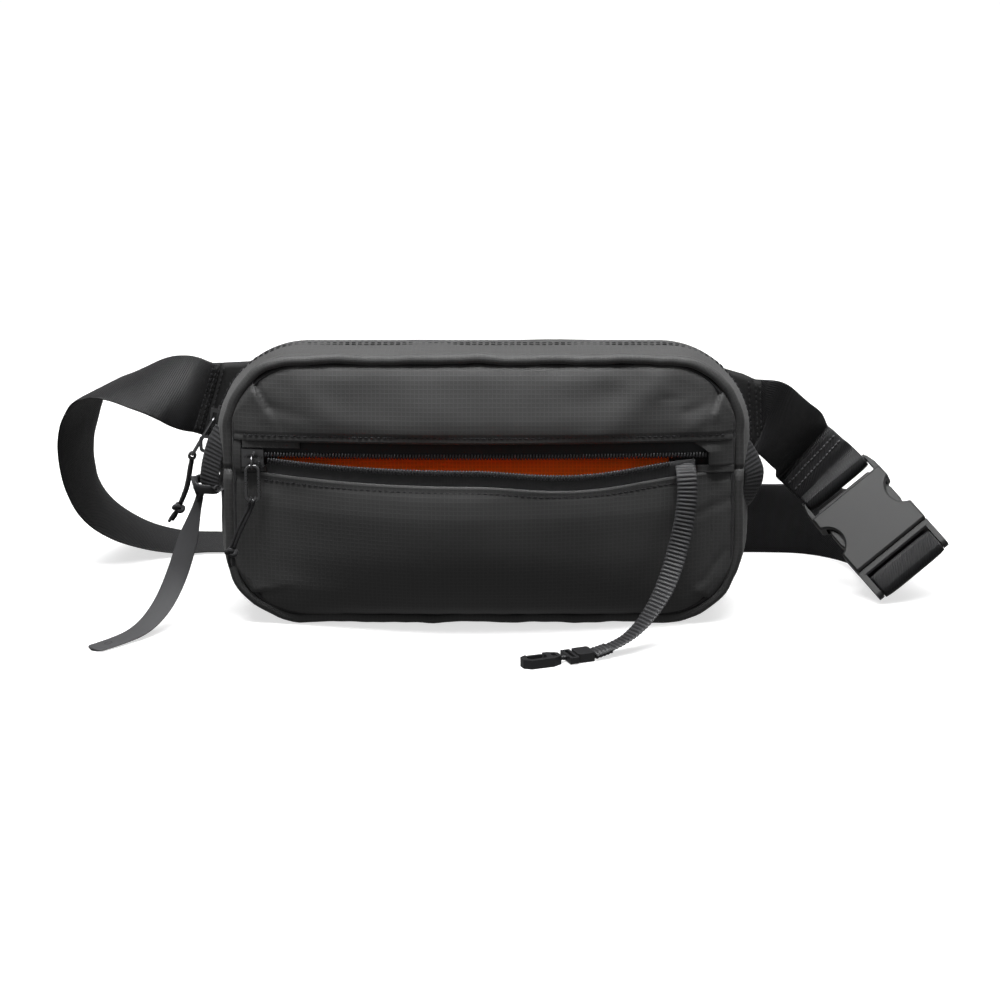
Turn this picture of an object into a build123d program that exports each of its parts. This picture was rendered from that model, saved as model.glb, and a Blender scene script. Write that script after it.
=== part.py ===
"""Sling bag: a small cross-body bag with a front zip pocket, a shoulder strap and a side-release buckle.

Millimetres, +Z up.  The origin is the middle of the base, on the surface that the bag stands on.
+X is the wearer's left, with the front towards the reader; the front pocket faces -Y.
"""
from build123d import *
from math import cos, pi, radians, sin, sqrt, tan
import os

os.makedirs("parts", exist_ok=True)

# ---------------------------------------------------------------- driving dimensions
WALL = 2.5                    # padded fabric wall of the gusset
FRONT_Y, BACK_Y = -28.0, 28.0
# the bag's outline at each depth: y, half width, bottom, top, corner radius
STATIONS = [
    (FRONT_Y, 127.0, 1.5, 137.0, 38.0),
    (-14.0, 131.0, 0.0, 138.3, 43.0),
    (0.0, 132.0, 0.0, 138.3, 45.0),
    (14.0, 131.0, 0.0, 135.4, 44.0),
    (BACK_Y, 127.0, 1.5, 130.0, 42.0),
]
FRONT, MIDDLE, BACK = STATIONS[0], STATIONS[2], STATIONS[4]
SEAM = 3.4                    # how far the front seam's piping reaches in from the outline
PANEL = 1.6                   # front panel fabric with its backing

ZIP_SLOT = 5.4                # half width of the main zip's tapes together
ZIP_END_Z = 80.0              # where the main zip stops on each side
COIL_GAP = 0.35               # half the gap between two rows of coil
COIL = 2.0                    # width of a row of coil

POCKET_ZIP_Z = 87.0           # height of the front pocket's zip
POCKET_ZIP_R = 1100.0         # the front zip follows this arc in plan
POCKET_ZIP_Y = -37.0          # the arc's foremost point
GAPE = 28.0                   # how far the open pocket's lip stands forward
GAPE_HALF = 112.0             # half the length of the open mouth
LIP_TAPE_Z = (79.0, 84.6)     # the lower tape, from the panel's edge to the coil
UPPER_TAPE_Z = (89.4, 95.5)

WEBBING = 38.0                # shoulder strap width
WEB_THICK = 1.8

# the buckle's own axes: A runs from the female half to the male half, W is its width, N faces up and forward
BUCKLE_ORIGIN = Vector(208.5, 16.7, 26.0)
BUCKLE_A = Vector(0.57, -0.606, -0.554).normalized()
BUCKLE_N = Vector(-0.272, -0.775, 0.569)
BUCKLE_N = (BUCKLE_N - BUCKLE_A * BUCKLE_N.dot(BUCKLE_A)).normalized()
BUCKLE_W = BUCKLE_N.cross(BUCKLE_A)
BUCKLE = Plane(origin=BUCKLE_ORIGIN, x_dir=BUCKLE_A, z_dir=BUCKLE_N)
BAR_A = -47.6                 # the female half's webbing bar
MALE_BAR_A = 14.5             # the male half's webbing bar

HOOK_START = Vector(40.9, -86.0, 2.3)
HOOK_AXIS = Vector(-0.927, -0.375, 0).normalized()
HOOK = Plane(origin=HOOK_START, x_dir=HOOK_AXIS, z_dir=(0, 0, 1))

nodes = {}


# ---------------------------------------------------------------- helpers
def front_plane(y):
    """Local x is +X, local y is +Z, and the normal is -Y."""
    return Plane(origin=(0, y, 0), x_dir=(1, 0, 0), z_dir=(0, -1, 0))


def outline_face(station, inset=0.0):
    y, half, low, high, radius = station
    shape = RectangleRounded(2 * (half - inset), high - low - 2 * inset, radius - inset)
    return front_plane(y) * Pos(0, (low + high) / 2) * shape


def block(x, y, z):
    """A box from three (low, high) pairs."""
    size = [high - low for low, high in (x, y, z)]
    centre = [(low + high) / 2 for low, high in (x, y, z)]
    return Pos(*centre) * Box(*size)


def slab(station, y0, y1, inset, hole=None):
    """The outline extruded from y0 forward to y1 (y1 < y0), less a smaller outline."""
    flat = (y0,) + tuple(station[1:])
    solid = extrude(outline_face(flat, inset), amount=y0 - y1, dir=(0, -1, 0))
    if hole is not None:
        solid -= extrude(outline_face(flat, hole), amount=y0 - y1, dir=(0, -1, 0))
    return solid


def body_loft(inset, stations=STATIONS):
    whole = None
    for near, far in zip(stations, stations[1:]):
        piece = loft([outline_face(near, inset), outline_face(far, inset)], ruled=True)
        whole = piece if whole is None else whole + piece
    return whole


def polygon_wire(points):
    return Wire.make_polygon([Vector(*p) for p in points], close=True)


def section_loft(sections):
    """A solid through polygons that all have the same number of corners."""
    return Solid.make_loft([polygon_wire(s) for s in sections], ruled=True)


def ribbon(stations, width, thickness):
    """Flat webbing through stations of (centre, direction of its width)."""
    sections = []
    last = len(stations) - 1
    for i, (centre, across) in enumerate(stations):
        centre, across = Vector(*centre), Vector(*across)
        along = Vector(*stations[min(i + 1, last)][0]) - Vector(*stations[max(i - 1, 0)][0])
        along = along.normalized()
        across = (across - along * across.dot(along)).normalized() * (width / 2)
        face = along.cross(across).normalized() * (thickness / 2)
        corners = [centre - across - face, centre + across - face, centre + across + face, centre - across + face]
        sections.append([tuple(c) for c in corners])
    return section_loft(sections)


def arc_block(centre, r_in, r_out, start, sweep_deg, y0, y1):
    """A sector of a ring in the XZ plane, from y0 forward to y1."""
    ring = Circle(r_out) - Circle(r_in)
    reach = 2 * r_out
    a0, a1 = radians(start), radians(start + sweep_deg)
    wedge = Polygon((0, 0), (reach * cos(a0), reach * sin(a0)), (reach * cos(a1), reach * sin(a1)), align=None)
    face = front_plane(y0) * Pos(*centre) * (ring & wedge)
    return extrude(face, amount=y0 - y1, dir=(0, -1, 0))


def zip_line(x):
    """The front zip's y at x, when it is closed."""
    return POCKET_ZIP_Y + POCKET_ZIP_R - sqrt(POCKET_ZIP_R**2 - x**2)


def zip_band(x0, x1, z0, z1, r0, r1):
    """A strip that follows the front zip's arc: offsets r0..r1 from its line, positive forward."""
    centre_y = POCKET_ZIP_Y + POCKET_ZIP_R
    ring = Circle(POCKET_ZIP_R + r1) - Circle(POCKET_ZIP_R + r0)
    window = Pos((x0 + x1) / 2, -POCKET_ZIP_R) * Rectangle(x1 - x0, 60)
    face = Plane(origin=(0, centre_y, z0)) * (ring & window)
    return extrude(face, amount=z1 - z0, dir=(0, 0, 1))


def gape(x):
    """How far the open lip stands in front of the seam at x."""
    return GAPE * max(0.0, 1 - (abs(x) / GAPE_HALF) ** 2.2)


def lip_drop(x):
    """The open lip sags a little to the right of the middle."""
    return 3.0 * max(0.0, 1 - ((x - 45) / 50) ** 2) ** 2


def seam_bottom(x):
    _, half, low, _, radius = FRONT
    half, low, radius = half - SEAM, low + SEAM, radius - SEAM
    over = max(0.0, abs(x) - (half - radius))
    return low + radius - sqrt(max(0.0, radius**2 - over**2))


def seam_top(x):
    _, _, low, high, _ = FRONT
    return low + high - seam_bottom(x)


def cord(name, points, diameter):
    """A cord's plain tube: straight runs joined by arcs as large as the runs allow."""
    points = [Vector(*p) for p in points]
    runs = [b - a for a, b in zip(points, points[1:])]
    radii = []
    for first, second in zip(runs, runs[1:]):
        half_turn = radians(first.get_angle(second)) / 2
        radii.append(0.45 * min(first.length, second.length) / tan(half_turn))
    path = FilletPolyline(*points, radius=radii)
    tube = sweep(Plane(origin=path @ 0, z_dir=path % 0) * Circle(diameter / 2), path=path)
    expected = pi * diameter**2 / 4 * path.length
    print(f"{name}: length {path.length:.1f}, radii {[round(r, 1) for r in radii]}, "
          f"volume {tube.volume / expected:.3f} of section times length")
    return tube


def wire_loop(plane, width, start, end, wire):
    """A long closed loop of wire in a plane, from start to end along its y."""
    half = width / 2
    path = FilletPolyline((-half, start), (half, start), (half, end), (-half, end), radius=half * 0.8, close=True)
    begin = plane * path
    return sweep(Plane(origin=begin @ 0, z_dir=begin % 0) * Circle(wire / 2), path=begin)


# ---------------------------------------------------------------- the shell
def make_shell():
    wall = body_loft(0) - body_loft(WALL)
    zip_slot = block((-200, 200), (-ZIP_SLOT, ZIP_SLOT), (ZIP_END_Z, 200))
    wall -= zip_slot
    below = block((-200, 200), (-60, 60), (-10, ZIP_END_Z))
    front_half = block((-200, 200), (-60, 0), (ZIP_END_Z, 200))
    back_half = block((-200, 200), (0, 60), (ZIP_END_Z, 200))
    nodes["gusset_lower"] = wall & below
    nodes["gusset_upper_front"] = wall & front_half
    nodes["gusset_upper_back"] = wall & back_half

    lining = body_loft(WALL + 0.2) - body_loft(WALL + 0.9)
    lining &= block((-200, 200), (-26.2, 27.8), (-10, 200))
    lining -= block((-200, 200), (-7, 7), (ZIP_END_Z - 4, 200))
    nodes["main_lining"] = lining
    nodes["divider"] = slab(STATIONS[3], 13.0, 12.0, WALL + 2.2) & block((-200, 200), (0, 20), (0, 96))

    nodes["back_panel"] = slab(BACK, BACK_Y + 5, BACK_Y, 0)
    nodes["back_mesh"] = slab(BACK, BACK_Y + 7, BACK_Y + 5, 9)
    nodes["pocket_back_wall"] = slab(FRONT, FRONT_Y + 1.6, FRONT_Y, WALL + 0.15)


# ---------------------------------------------------------------- main zip
CORNER = (-(MIDDLE[1] - MIDDLE[4]), MIDDLE[3] - MIDDLE[4])
CORNER_R = MIDDLE[4]
MAIN_SLIDER_ANGLE = 6.5      # above the horizontal, measured round the left corner
CROWN_HOLE_R = CORNER_R + 2.6


def on_corner(radius, angle):
    """The point at this radius and angle above the horizontal, on the left corner."""
    return (CORNER[0] - radius * cos(radians(angle)), CORNER[1] + radius * sin(radians(angle)))


def make_main_zip():
    above = block((-200, 200), (-20, 20), (ZIP_END_Z + 2.5, 200))
    for side, sign in (("front", -1), ("back", 1)):
        coil_y = sorted((sign * COIL_GAP, sign * (COIL_GAP + COIL)))
        tape_y = sorted((sign * (COIL_GAP + COIL), sign * ZIP_SLOT))
        nodes[f"main_coil_{side}"] = slab(MIDDLE, coil_y[1], coil_y[0], 0.3, 2.0) & above
        nodes[f"main_tape_{side}"] = slab(MIDDLE, tape_y[1], tape_y[0], 0.9, 1.9) & above
    ends = slab(MIDDLE, ZIP_SLOT, -ZIP_SLOT, 0.5, 2.4)
    nodes["main_zip_ends"] = ends & block((-200, 200), (-20, 20), (ZIP_END_Z, ZIP_END_Z + 2.5))

    start = 180 - MAIN_SLIDER_ANGLE - 7
    sweep_deg = 14.0
    outer = arc_block(CORNER, CORNER_R + 0.2, CORNER_R + 1.5, start, sweep_deg, 4.4, -4.4)
    inner = arc_block(CORNER, CORNER_R - 3.5, CORNER_R - 2.3, start, sweep_deg, 4.4, -4.4)
    post = arc_block(CORNER, CORNER_R - 3.5, CORNER_R + 1.5, start + 1, 4, 0.22, -0.22)
    slider = outer + inner + post
    for y0 in (4.4, -3.4):
        slider += arc_block(CORNER, CORNER_R - 0.5, CORNER_R + 0.3, start, sweep_deg, y0, y0 - 1.0)
    crown = arc_block(CORNER, CORNER_R + 1.4, CORNER_R + 4.8, start + 1.5, sweep_deg - 3, 1.1, -1.1)
    crown -= arc_block(CORNER, CORNER_R + 1.5, CORNER_R + 3.7, start + 3.5, sweep_deg - 7, 2, -2)
    nodes["main_slider"] = slider + crown

    pivot = on_corner(CROWN_HOLE_R, MAIN_SLIDER_ANGLE)
    hang = Vector(-0.52, 0, -0.854).normalized()
    plane = Plane(origin=(pivot[0], 0, pivot[1]), x_dir=(0, 1, 0), z_dir=Vector(0, 1, 0).cross(hang))
    nodes["main_puller"] = wire_loop(plane, 6.0, 0.0, 22.0, 1.5)
    print("main puller pivot", pivot, "corner", CORNER)


# ---------------------------------------------------------------- front pocket
def both_sides(xs):
    return [-x for x in reversed(xs)] + [0] + xs


LOWER_X = both_sides([30, 60, 89, 96, 103, 110, 116, 120.5, 123.4])
UPPER_X = both_sides([30, 60, 89, 96, 103, 110, 115, 119, 122])


def upper_bulge(x):
    if abs(x) <= 115:
        return FRONT_Y - zip_line(x)
    return (FRONT_Y - zip_line(115)) * max(0.0, (123.4 - abs(x)) / 8.4)


def lip_height(x):
    return LIP_TAPE_Z[0] - lip_drop(x)


def panel_loft(xs, rise, levels, thickness, offset=0.0):
    """A curved panel. rise(x, share) gives (forward, z) at a share of its height."""
    sections = []
    for x in xs:
        outer = [rise(x, share) for share in levels]
        front = [(x, FRONT_Y - forward + offset - thickness, z) for forward, z in outer]
        back = [(x, FRONT_Y - forward + offset, z) for forward, z in reversed(outer)]
        sections.append(front + back)
    return section_loft(sections)


LOWER_PROFILE = {0.0: 0.0, 0.06: 0.26, 0.18: 0.52, 0.4: 0.8, 0.7: 0.96, 1.0: 1.0}
UPPER_PROFILE = {0.0: 0.0, 0.12: 0.35, 0.35: 0.7, 0.7: 0.95, 1.0: 1.0}


def lower_rise(x, share):
    low, high = seam_bottom(x), lip_height(x)
    return gape(x) * LOWER_PROFILE[share], low + (high - low) * share


def upper_rise(x, share):
    low, high = UPPER_TAPE_Z[1], seam_top(x)
    return upper_bulge(x) * UPPER_PROFILE[share], high + (low - high) * share


def make_front():
    nodes["front_panel_lower"] = panel_loft(LOWER_X, lower_rise, sorted(LOWER_PROFILE), PANEL)
    nodes["front_panel_upper"] = panel_loft(UPPER_X, upper_rise, sorted(UPPER_PROFILE), PANEL)
    inner_x = [x for x in LOWER_X if abs(x) <= 100]
    nodes["pocket_lining"] = panel_loft(inner_x, lower_rise, [0.18, 0.4, 0.7, 1.0], 0.6, 0.75)

    nodes["front_tape_upper"] = zip_band(-118, 104, *UPPER_TAPE_Z, -0.5, 0.5)
    nodes["front_coil_upper"] = zip_band(-118, 104, POCKET_ZIP_Z + 0.4, UPPER_TAPE_Z[0], -0.9, 0.9)

    tape, coil = [], []
    for x in [-106, -96, -84.5, -60, -30, 0, 30, 60, 84.5, 91]:
        y = FRONT_Y - gape(x)
        low, mid, top = lip_height(x), LIP_TAPE_Z[1] - lip_drop(x), POCKET_ZIP_Z - 0.4 - lip_drop(x)
        tape.append([(x, y - 1, low), (x, y - 1, mid), (x, y, mid), (x, y, low)])
        coil.append([(x, y - 1.4, mid), (x, y - 1.4, top), (x, y + 0.4, top), (x, y + 0.4, mid)])
    nodes["front_tape_lower"] = section_loft(tape)
    nodes["front_coil_lower"] = section_loft(coil)

    welt = zip_band(-118, -90, 91.8, UPPER_TAPE_Z[1] - 0.1, 0.6, 1.5)
    nodes["front_zip_welt"] = welt
    end = block((-123, -119), (-32.5, FRONT_Y), (79.2, 91))
    shelf = block((-119, -106.3), (-30.6, -29.2), (79.2, 82.2))
    nodes["front_zip_end_left"] = end + shelf
    cover = zip_band(104.2, 122, 83.0, 95.3, -0.4, 1.2)
    sill = block((104.5, 122), (-31.6, -29.8), (79.2, 82.0))
    nodes["front_zip_end_right"] = cover + sill

    ring = slab(FRONT, FRONT_Y, FRONT_Y - 3.0, -1.2, SEAM)
    nodes["piping_front"] = ring


PULL_RING_R = 3.3             # the small ring between the front slider's crown and its puller
PULL_RING_OUT = 6.55          # its centre, in front of the zip line
PULLER_LENGTH = 17.5


def make_front_slider():
    x0, x1 = -118.4, -107.6
    z0, z1 = POCKET_ZIP_Z - 4.4, POCKET_ZIP_Z + 4.4
    slider = zip_band(x0, x1, z0, z1, -2.4, -1.3) + zip_band(x0, x1, z0, z1, 1.4, 2.7)
    for low in (z0, z1 - 1.1):
        slider += zip_band(x0, x1, low, low + 1.1, 0.9, 1.5) + zip_band(x0, x1, low, low + 1.1, -1.4, -0.9)
    slider += zip_band(x0 + 1, x0 + 4, POCKET_ZIP_Z - 0.25, POCKET_ZIP_Z + 0.25, -2.4, 2.7)
    middle = POCKET_ZIP_Z
    crown = zip_band(x0 + 1.2, x1 - 1.2, middle - 0.7, middle + 0.7, 2.6, 6.2)
    crown -= zip_band(x0 + 2.8, x1 - 2.8, middle - 3, middle + 3, 2.7, 5.2)
    nodes["front_slider"] = slider + crown

    x = (x0 + x1) / 2
    y = zip_line(x) - PULL_RING_OUT
    ring_plane = Plane(origin=(x, y, middle - 1.0), x_dir=(0, 1, 0), z_dir=(1, 0, 0))
    nodes["front_pull_ring"] = ring_plane * Torus(PULL_RING_R, 0.5)
    pivot_z = middle - 1.0 - PULL_RING_R + 0.5 + 0.75 + 0.1
    hang_plane = Plane(origin=(x, y, pivot_z), x_dir=(1, 0, 0), z_dir=(0, 1, 0))
    nodes["front_puller"] = wire_loop(hang_plane, 6.2, 0.0, PULLER_LENGTH, 1.5)
    print("front puller pivot", (x, y, pivot_z), "wire's lowest point", pivot_z - PULLER_LENGTH - 0.75)


# ---------------------------------------------------------------- strap, wings and tabs
LEFT_WING = [(-108, 121), (-137.3, 119.6), (-148.6, 83.6), (-116, 76)]
RIGHT_WING = [(108, 120), (119, 117.5), (131, 114), (140.5, 109.8), (142.2, 74), (116, 71)]
WING_Y = (28.0, 31.0)

STRAP_LEFT = [
    ((-143.5, 29.5, 101.8), (-0.31, 0, -0.95)),
    ((-150, 30.5, 103.5), (-0.28, -0.25, -0.93)),
    ((-157, 33, 105.5), (-0.25, -0.55, -0.8)),
    ((-165, 36.5, 106.5), (-0.2, -0.75, -0.63)),
    ((-174, 41, 106), (-0.14, -0.9, -0.42)),
    ((-185, 46.5, 104.5), (-0.05, -0.99, -0.13)),
    ((-195, 52, 101.5), (-0.08, -1, 0.05)),
    ((-203, 58, 96), (-0.22, -0.96, 0.14)),
    ((-208.5, 63, 87), (-0.34, -0.93, 0.13)),
    ((-212, 68, 75), (-0.36, -0.92, 0.15)),
    ((-213.7, 72, 62), (-0.32, -0.94, 0.17)),
    ((-213, 76, 48.5), (-0.3, -0.94, 0.16)),
    ((-209.5, 80, 36), (-0.3, -0.95, 0.12)),
    ((-202.5, 85.5, 25), (-0.27, -0.96, 0.07)),
    ((-192, 92, 15.5), (-0.22, -0.97, 0.04)),
    ((-178, 99, 7.5), (-0.14, -0.99, 0.02)),
    ((-163, 105, 2.8), (-0.07, -1, 0)),
    ((-146, 108.5, 1.4), (0, -1, 0)),
    ((-122, 109, 1.2), (0, -1, 0)),
]
STRAP_EDGE_Y = 90.0           # the edge that stays on the floor behind the bag
STRAP_RISE = [(-90, 4), (-55, 16), (-20, 33), (15, 52), (50, 70), (85, 83), (115, 88)]
STRAP_RIGHT = [
    ((150, 90.5, 19.9), (0, 0, -1)),
    ((172, 88, 20.0), (-0.08, -0.05, -1)),
    ((189, 78, 20.2), (-0.25, -0.1, -0.96)),
    ((201, 62, 20.8), (-0.45, -0.14, -0.88)),
    ((208, 45, 22.0), (-0.65, -0.17, -0.74)),
    ((212.5, 31, 22.6), tuple(-BUCKLE_W)),
]


def buckle_point(a, n, w=0.0):
    return tuple(BUCKLE_ORIGIN + BUCKLE_A * a + BUCKLE_N * n + BUCKLE_W * w)


def make_strap():
    stations = list(STRAP_LEFT)
    for x, angle in STRAP_RISE:
        across = (0, -cos(radians(angle)), -sin(radians(angle)))
        centre = (x, STRAP_EDGE_Y - WEBBING / 2 * across[1], 1.0 - WEBBING / 2 * across[2])
        stations.append((centre, across))
    stations += STRAP_RIGHT
    across = tuple(-BUCKLE_W)
    turn_r = 3.5
    stations.append((buckle_point(3.0, -8.4), across))
    stations.append((buckle_point(8.5, -4.9), across))
    for angle in range(-90, 91, 30):
        a = MALE_BAR_A + turn_r * cos(radians(angle))
        n = turn_r * sin(radians(angle))
        stations.append((buckle_point(a, n), across))
    stations.append((buckle_point(8.4, 3.5), across))
    stations.append((buckle_point(6.6, 2.7), across))
    stations.append((buckle_point(5.8, 0.8), across))
    stations.append((buckle_point(5.7, -1.4), across))
    nodes["strap_long"] = ribbon(stations, WEBBING, WEB_THICK)

    left = front_plane(WING_Y[1]) * Polygon(*LEFT_WING, align=None)
    right = front_plane(WING_Y[1]) * Polygon(*RIGHT_WING, align=None)
    for name, face in (("wing_left", left), ("wing_right", right)):
        wing = extrude(face, amount=WING_Y[1] - WING_Y[0], dir=(0, -1, 0))
        nodes[name] = wing - nodes["back_panel"]
    ring = slab(BACK, BACK_Y + 2.4, BACK_Y, -1.2, -0.02)
    nodes["piping_back"] = ring - nodes["wing_left"] - nodes["wing_right"]


SEWN_DIRECTION = Vector(-0.72, 0.35, 0.6).normalized()
SEWN_LENGTH = 17.0


def make_short_strap():
    loop_in = Pos(BAR_A, 0) * RectangleRounded(5.6, 5.0, 2.4)
    loop_out = Pos(BAR_A, 0) * RectangleRounded(5.6 + 2 * WEB_THICK, 5.0 + 2 * WEB_THICK, 4.2)
    side = Plane(origin=BUCKLE_ORIGIN + BUCKLE_W * (WEBBING / 2), x_dir=BUCKLE_A, z_dir=-BUCKLE_W)
    around = extrude(side * (loop_out - loop_in), amount=WEBBING, dir=-BUCKLE_W)
    start = Vector(*buckle_point(BAR_A - 3.5, 0))
    straight = Vector(*buckle_point(BAR_A - 6.4, 0))
    end = start + SEWN_DIRECTION * SEWN_LENGTH
    sewn_across = (BUCKLE_W - SEWN_DIRECTION * BUCKLE_W.dot(SEWN_DIRECTION)).normalized()
    tongue_line = [start, straight, start + SEWN_DIRECTION * (SEWN_LENGTH * 0.5), end - SEWN_DIRECTION * 2, end]
    tongue_across = [BUCKLE_W, BUCKLE_W, sewn_across, sewn_across, sewn_across]
    tongue = ribbon([(tuple(p), tuple(w)) for p, w in zip(tongue_line, tongue_across)], WEBBING, 2 * WEB_THICK)
    nodes["strap_short_loop"] = around + tongue

    stations = [
        ((141.7, 29.5, 91.9), (-0.05, 0, 1)),
        ((144.4, 29.6, 91.5), (-0.02, 0.02, 1)),
        ((148.5, 31.3, 88.6), (0.1, 0.08, 0.98)),
        ((153, 34.8, 84), (0.27, 0.12, 0.95)),
        ((157.5, 39.8, 79), (0.42, 0.15, 0.88)),
        ((162, 46, 74), (0.58, 0.2, 0.77)),
        (tuple(end + SEWN_DIRECTION * 3.3), tuple(sewn_across)),
        (tuple(end + SEWN_DIRECTION * 0.3), tuple(sewn_across)),
    ]
    nodes["strap_short"] = ribbon(stations, WEBBING, WEB_THICK)


# a webbing loop that is sewn down at both ends, as (out, up) points from the middle of its seam
LEFT_TAB = [(0, 14.5), (4.2, 9), (8.2, -3), (9.3, -11), (6.8, -15), (0, -12.5)]
RIGHT_TAB = [(0, 12), (3.2, 8.5), (5.6, 2.5), (5.4, -2.5), (3, -7.5), (0, -12)]
TAB_THICK = 1.6
TAB_WIDTH = 14.0


def tab_band(points):
    """The loop's section, as a band inside the line through the points."""
    inner = [(out - TAB_THICK, up * 0.86 - 0.1) for out, up in points[1:-1]]
    ends = [(points[0][0], points[0][1] - 2.2), (points[-1][0], points[-1][1] + 2.2)]
    outside = Spline(*points)
    inside = Spline(ends[0], *inner, ends[1])
    return make_face(Curve() + [outside, Line(outside @ 1, inside @ 1), inside, Line(inside @ 0, outside @ 0)])


def make_tabs():
    for name, side, height, points in (("side_tab_left", -1, 82.5, LEFT_TAB), ("side_tab_right", 1, 74.0, RIGHT_TAB)):
        near, far = Vector(side * 127.3, FRONT_Y, 0), Vector(side * 131.3, -14.0, 0)
        along = (far - near).normalized()
        outward = Vector(along.Y, -along.X, 0)
        outward = outward if outward.X * side > 0 else -outward
        middle = (near + far) * 0.5 + Vector(0, 0, height) + along * 1.0 + outward * 0.5
        plane = Plane(origin=middle, x_dir=outward, z_dir=outward.cross(Vector(0, 0, 1)))
        tab = extrude(plane * tab_band(points), amount=TAB_WIDTH / 2, both=True)
        nodes[name] = tab - body_loft(0)
    plane = Plane(origin=(-137.6, -9.0, 87.5), x_dir=(0, 0, 1), z_dir=(0.25, 1, 0))
    ring = plane * (RectangleRounded(8.6, 7.2, 2) - RectangleRounded(6.2, 4.8, 1))
    nodes["tab_ring"] = extrude(ring, amount=0.8, both=True)


# ---------------------------------------------------------------- buckle
def make_buckle():
    body = Polygon((-38, -22.4), (0, -22.4), (0, 22.4), (-38, 22.4), align=None)
    windows = Pos(-21.5, 25.5) * Circle(9.5) + Pos(-21.5, -25.5) * Circle(9.5)
    body = extrude(body - windows, amount=5.5, both=True)
    rounded = body.edges().filter_by(Axis.Z).filter_by(lambda e: abs(e.center().X + 38) > 1)
    body = fillet(rounded, 1.2)
    body = chamfer(body.faces().sort_by(Axis.Z)[-1].outer_wire().edges(), 1.0)
    body = chamfer(body.faces().sort_by(Axis.Z)[0].outer_wire().edges(), 1.0)
    frame = Polygon((-50.4, -16), (-47.5, -21), (-42, -22.4), (-35, -22.4), (-35, 22.4), (-42, 22.4), (-47.5, 21),
                    (-50.4, 16), align=None)
    frame = extrude(frame, amount=3.4, both=True)
    frame = chamfer(frame.faces().sort_by(Axis.Z)[-1].outer_wire().edges(), 0.8)
    frame = chamfer(frame.faces().sort_by(Axis.Z)[0].outer_wire().edges(), 0.8)
    frame -= Pos(-45.3, 0, 0) * Box(13.2, 39.4, 20)
    bar = Pos(BAR_A, 0, 0) * Rotation(90, 0, 0) * Cylinder(2.2, 41)
    ledge = block((-41.6, -37.5), (-17, 17), (-5.0, -1.6))
    ledge = fillet(ledge.edges().filter_by(Axis.Z).group_by(Axis.X)[0], 1.6)
    cavity = block((-34, 1), (-20, 20), (-3.6, 3.6))
    female = body + frame + bar + ledge - cavity
    nodes["buckle_female"] = BUCKLE * female

    plate = block((0.3, 3.8), (-20.6, 20.6), (-3.6, 3.6))
    plate = chamfer(plate.edges().filter_by(Axis.Y).group_by(Axis.X)[-1], 0.8)
    male = plate
    for side in (-1, 1):
        rail = block((0.3, 17.4), sorted((side * 19.6, side * 22.4)), (-3.4, 3.4))
        rail = fillet(rail.edges().filter_by(Axis.Y).group_by(Axis.X)[-1], 2.6)
        male += rail
    male += Pos(MALE_BAR_A, 0, 0) * Rotation(90, 0, 0) * Cylinder(2.2, 41)
    guide = Polygon((0.6, -3.6), (-19, -3.0), (-23, -1.2), (-23, 1.2), (-19, 3.0), (0.6, 3.6), align=None)
    male += extrude(guide, amount=2.4, both=True)
    nodes["buckle_male"] = BUCKLE * male

    for name, side in (("prong_left", -1), ("prong_right", 1)):
        arm = Polygon((-0.2, 11.6), (-0.2, 14.6), (-12.6, 15.2), (-13.6, 18.6), (-17.5, 19.7), (-25.5, 19.7),
                      (-29.5, 18.4), (-31.2, 14.4), (-30.6, 12.6), (-12.5, 12.2), align=None)
        prong = extrude(arm, amount=3.1, both=True)
        prong = chamfer(prong.faces().sort_by(Axis.Z)[-1].edges().filter_by(lambda e: e.center().X < -13), 0.7)
        if side < 0:
            prong = mirror(prong, about=Plane.XZ)
        nodes[name] = BUCKLE * prong
        print(name, "pivot", buckle_point(-0.6, 0, side * 13.1))


# ---------------------------------------------------------------- cords, leash and hook
LEASH_ROUTE = [(98, -31.5, 84.3), (98.6, -41.5, 84.4), (99.5, -45, 71.5), (97.5, -48.5, 57), (93.5, -53, 42),
               (88, -59.5, 27), (78.5, -67, 13.5), (66, -74.5, 4.5), (52.4, -81.4, 2.3)]
STRIP_ROUTE = [(-141, -16, 62.5), (-144.5, -18, 50), (-148.5, -21, 37), (-153.2, -26, 22.5), (-159.5, -36, 10.5),
               (-168, -47.5, 4), (-179, -59, 2.2), (-190, -70.5, 2.15)]
MAIN_CORD_ROUTE = [(-145.9, -0.6, 78.0), (-147.2, -1.4, 72.2), (-148.1, -1.6, 65.8), (-150.0, -2.2, 59.8),
                   (-152.6, -2.2, 54.2)]
FRONT_CORD_ROUTE = [(-113.3, -37.7, 65.2), (-115.6, -37.7, 60), (-119.0, -37.2, 53.5), (-121.8, -37.0, 47),
                    (-123.7, -36.8, 41.6)]
LEASH_D, STRIP_D, PULL_D = 4.0, 4.0, 2.6


def knot(end, direction, tail_end):
    """An overhand knot as a short barrel with two tails below it."""
    direction = Vector(*direction).normalized()
    ball = Plane(origin=Vector(*end) + direction * 2.6, z_dir=direction) * Cylinder(2.5, 4.8)
    ball = fillet(ball.edges(), 1.6)
    start = Vector(*end) + direction * 4.6
    tail_dir = (Vector(*tail_end) - start)
    tail = Plane(origin=start, z_dir=tail_dir) * Cylinder(1.2, tail_dir.length,
                                                          align=(Align.CENTER, Align.CENTER, Align.MIN))
    return ball + tail


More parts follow.
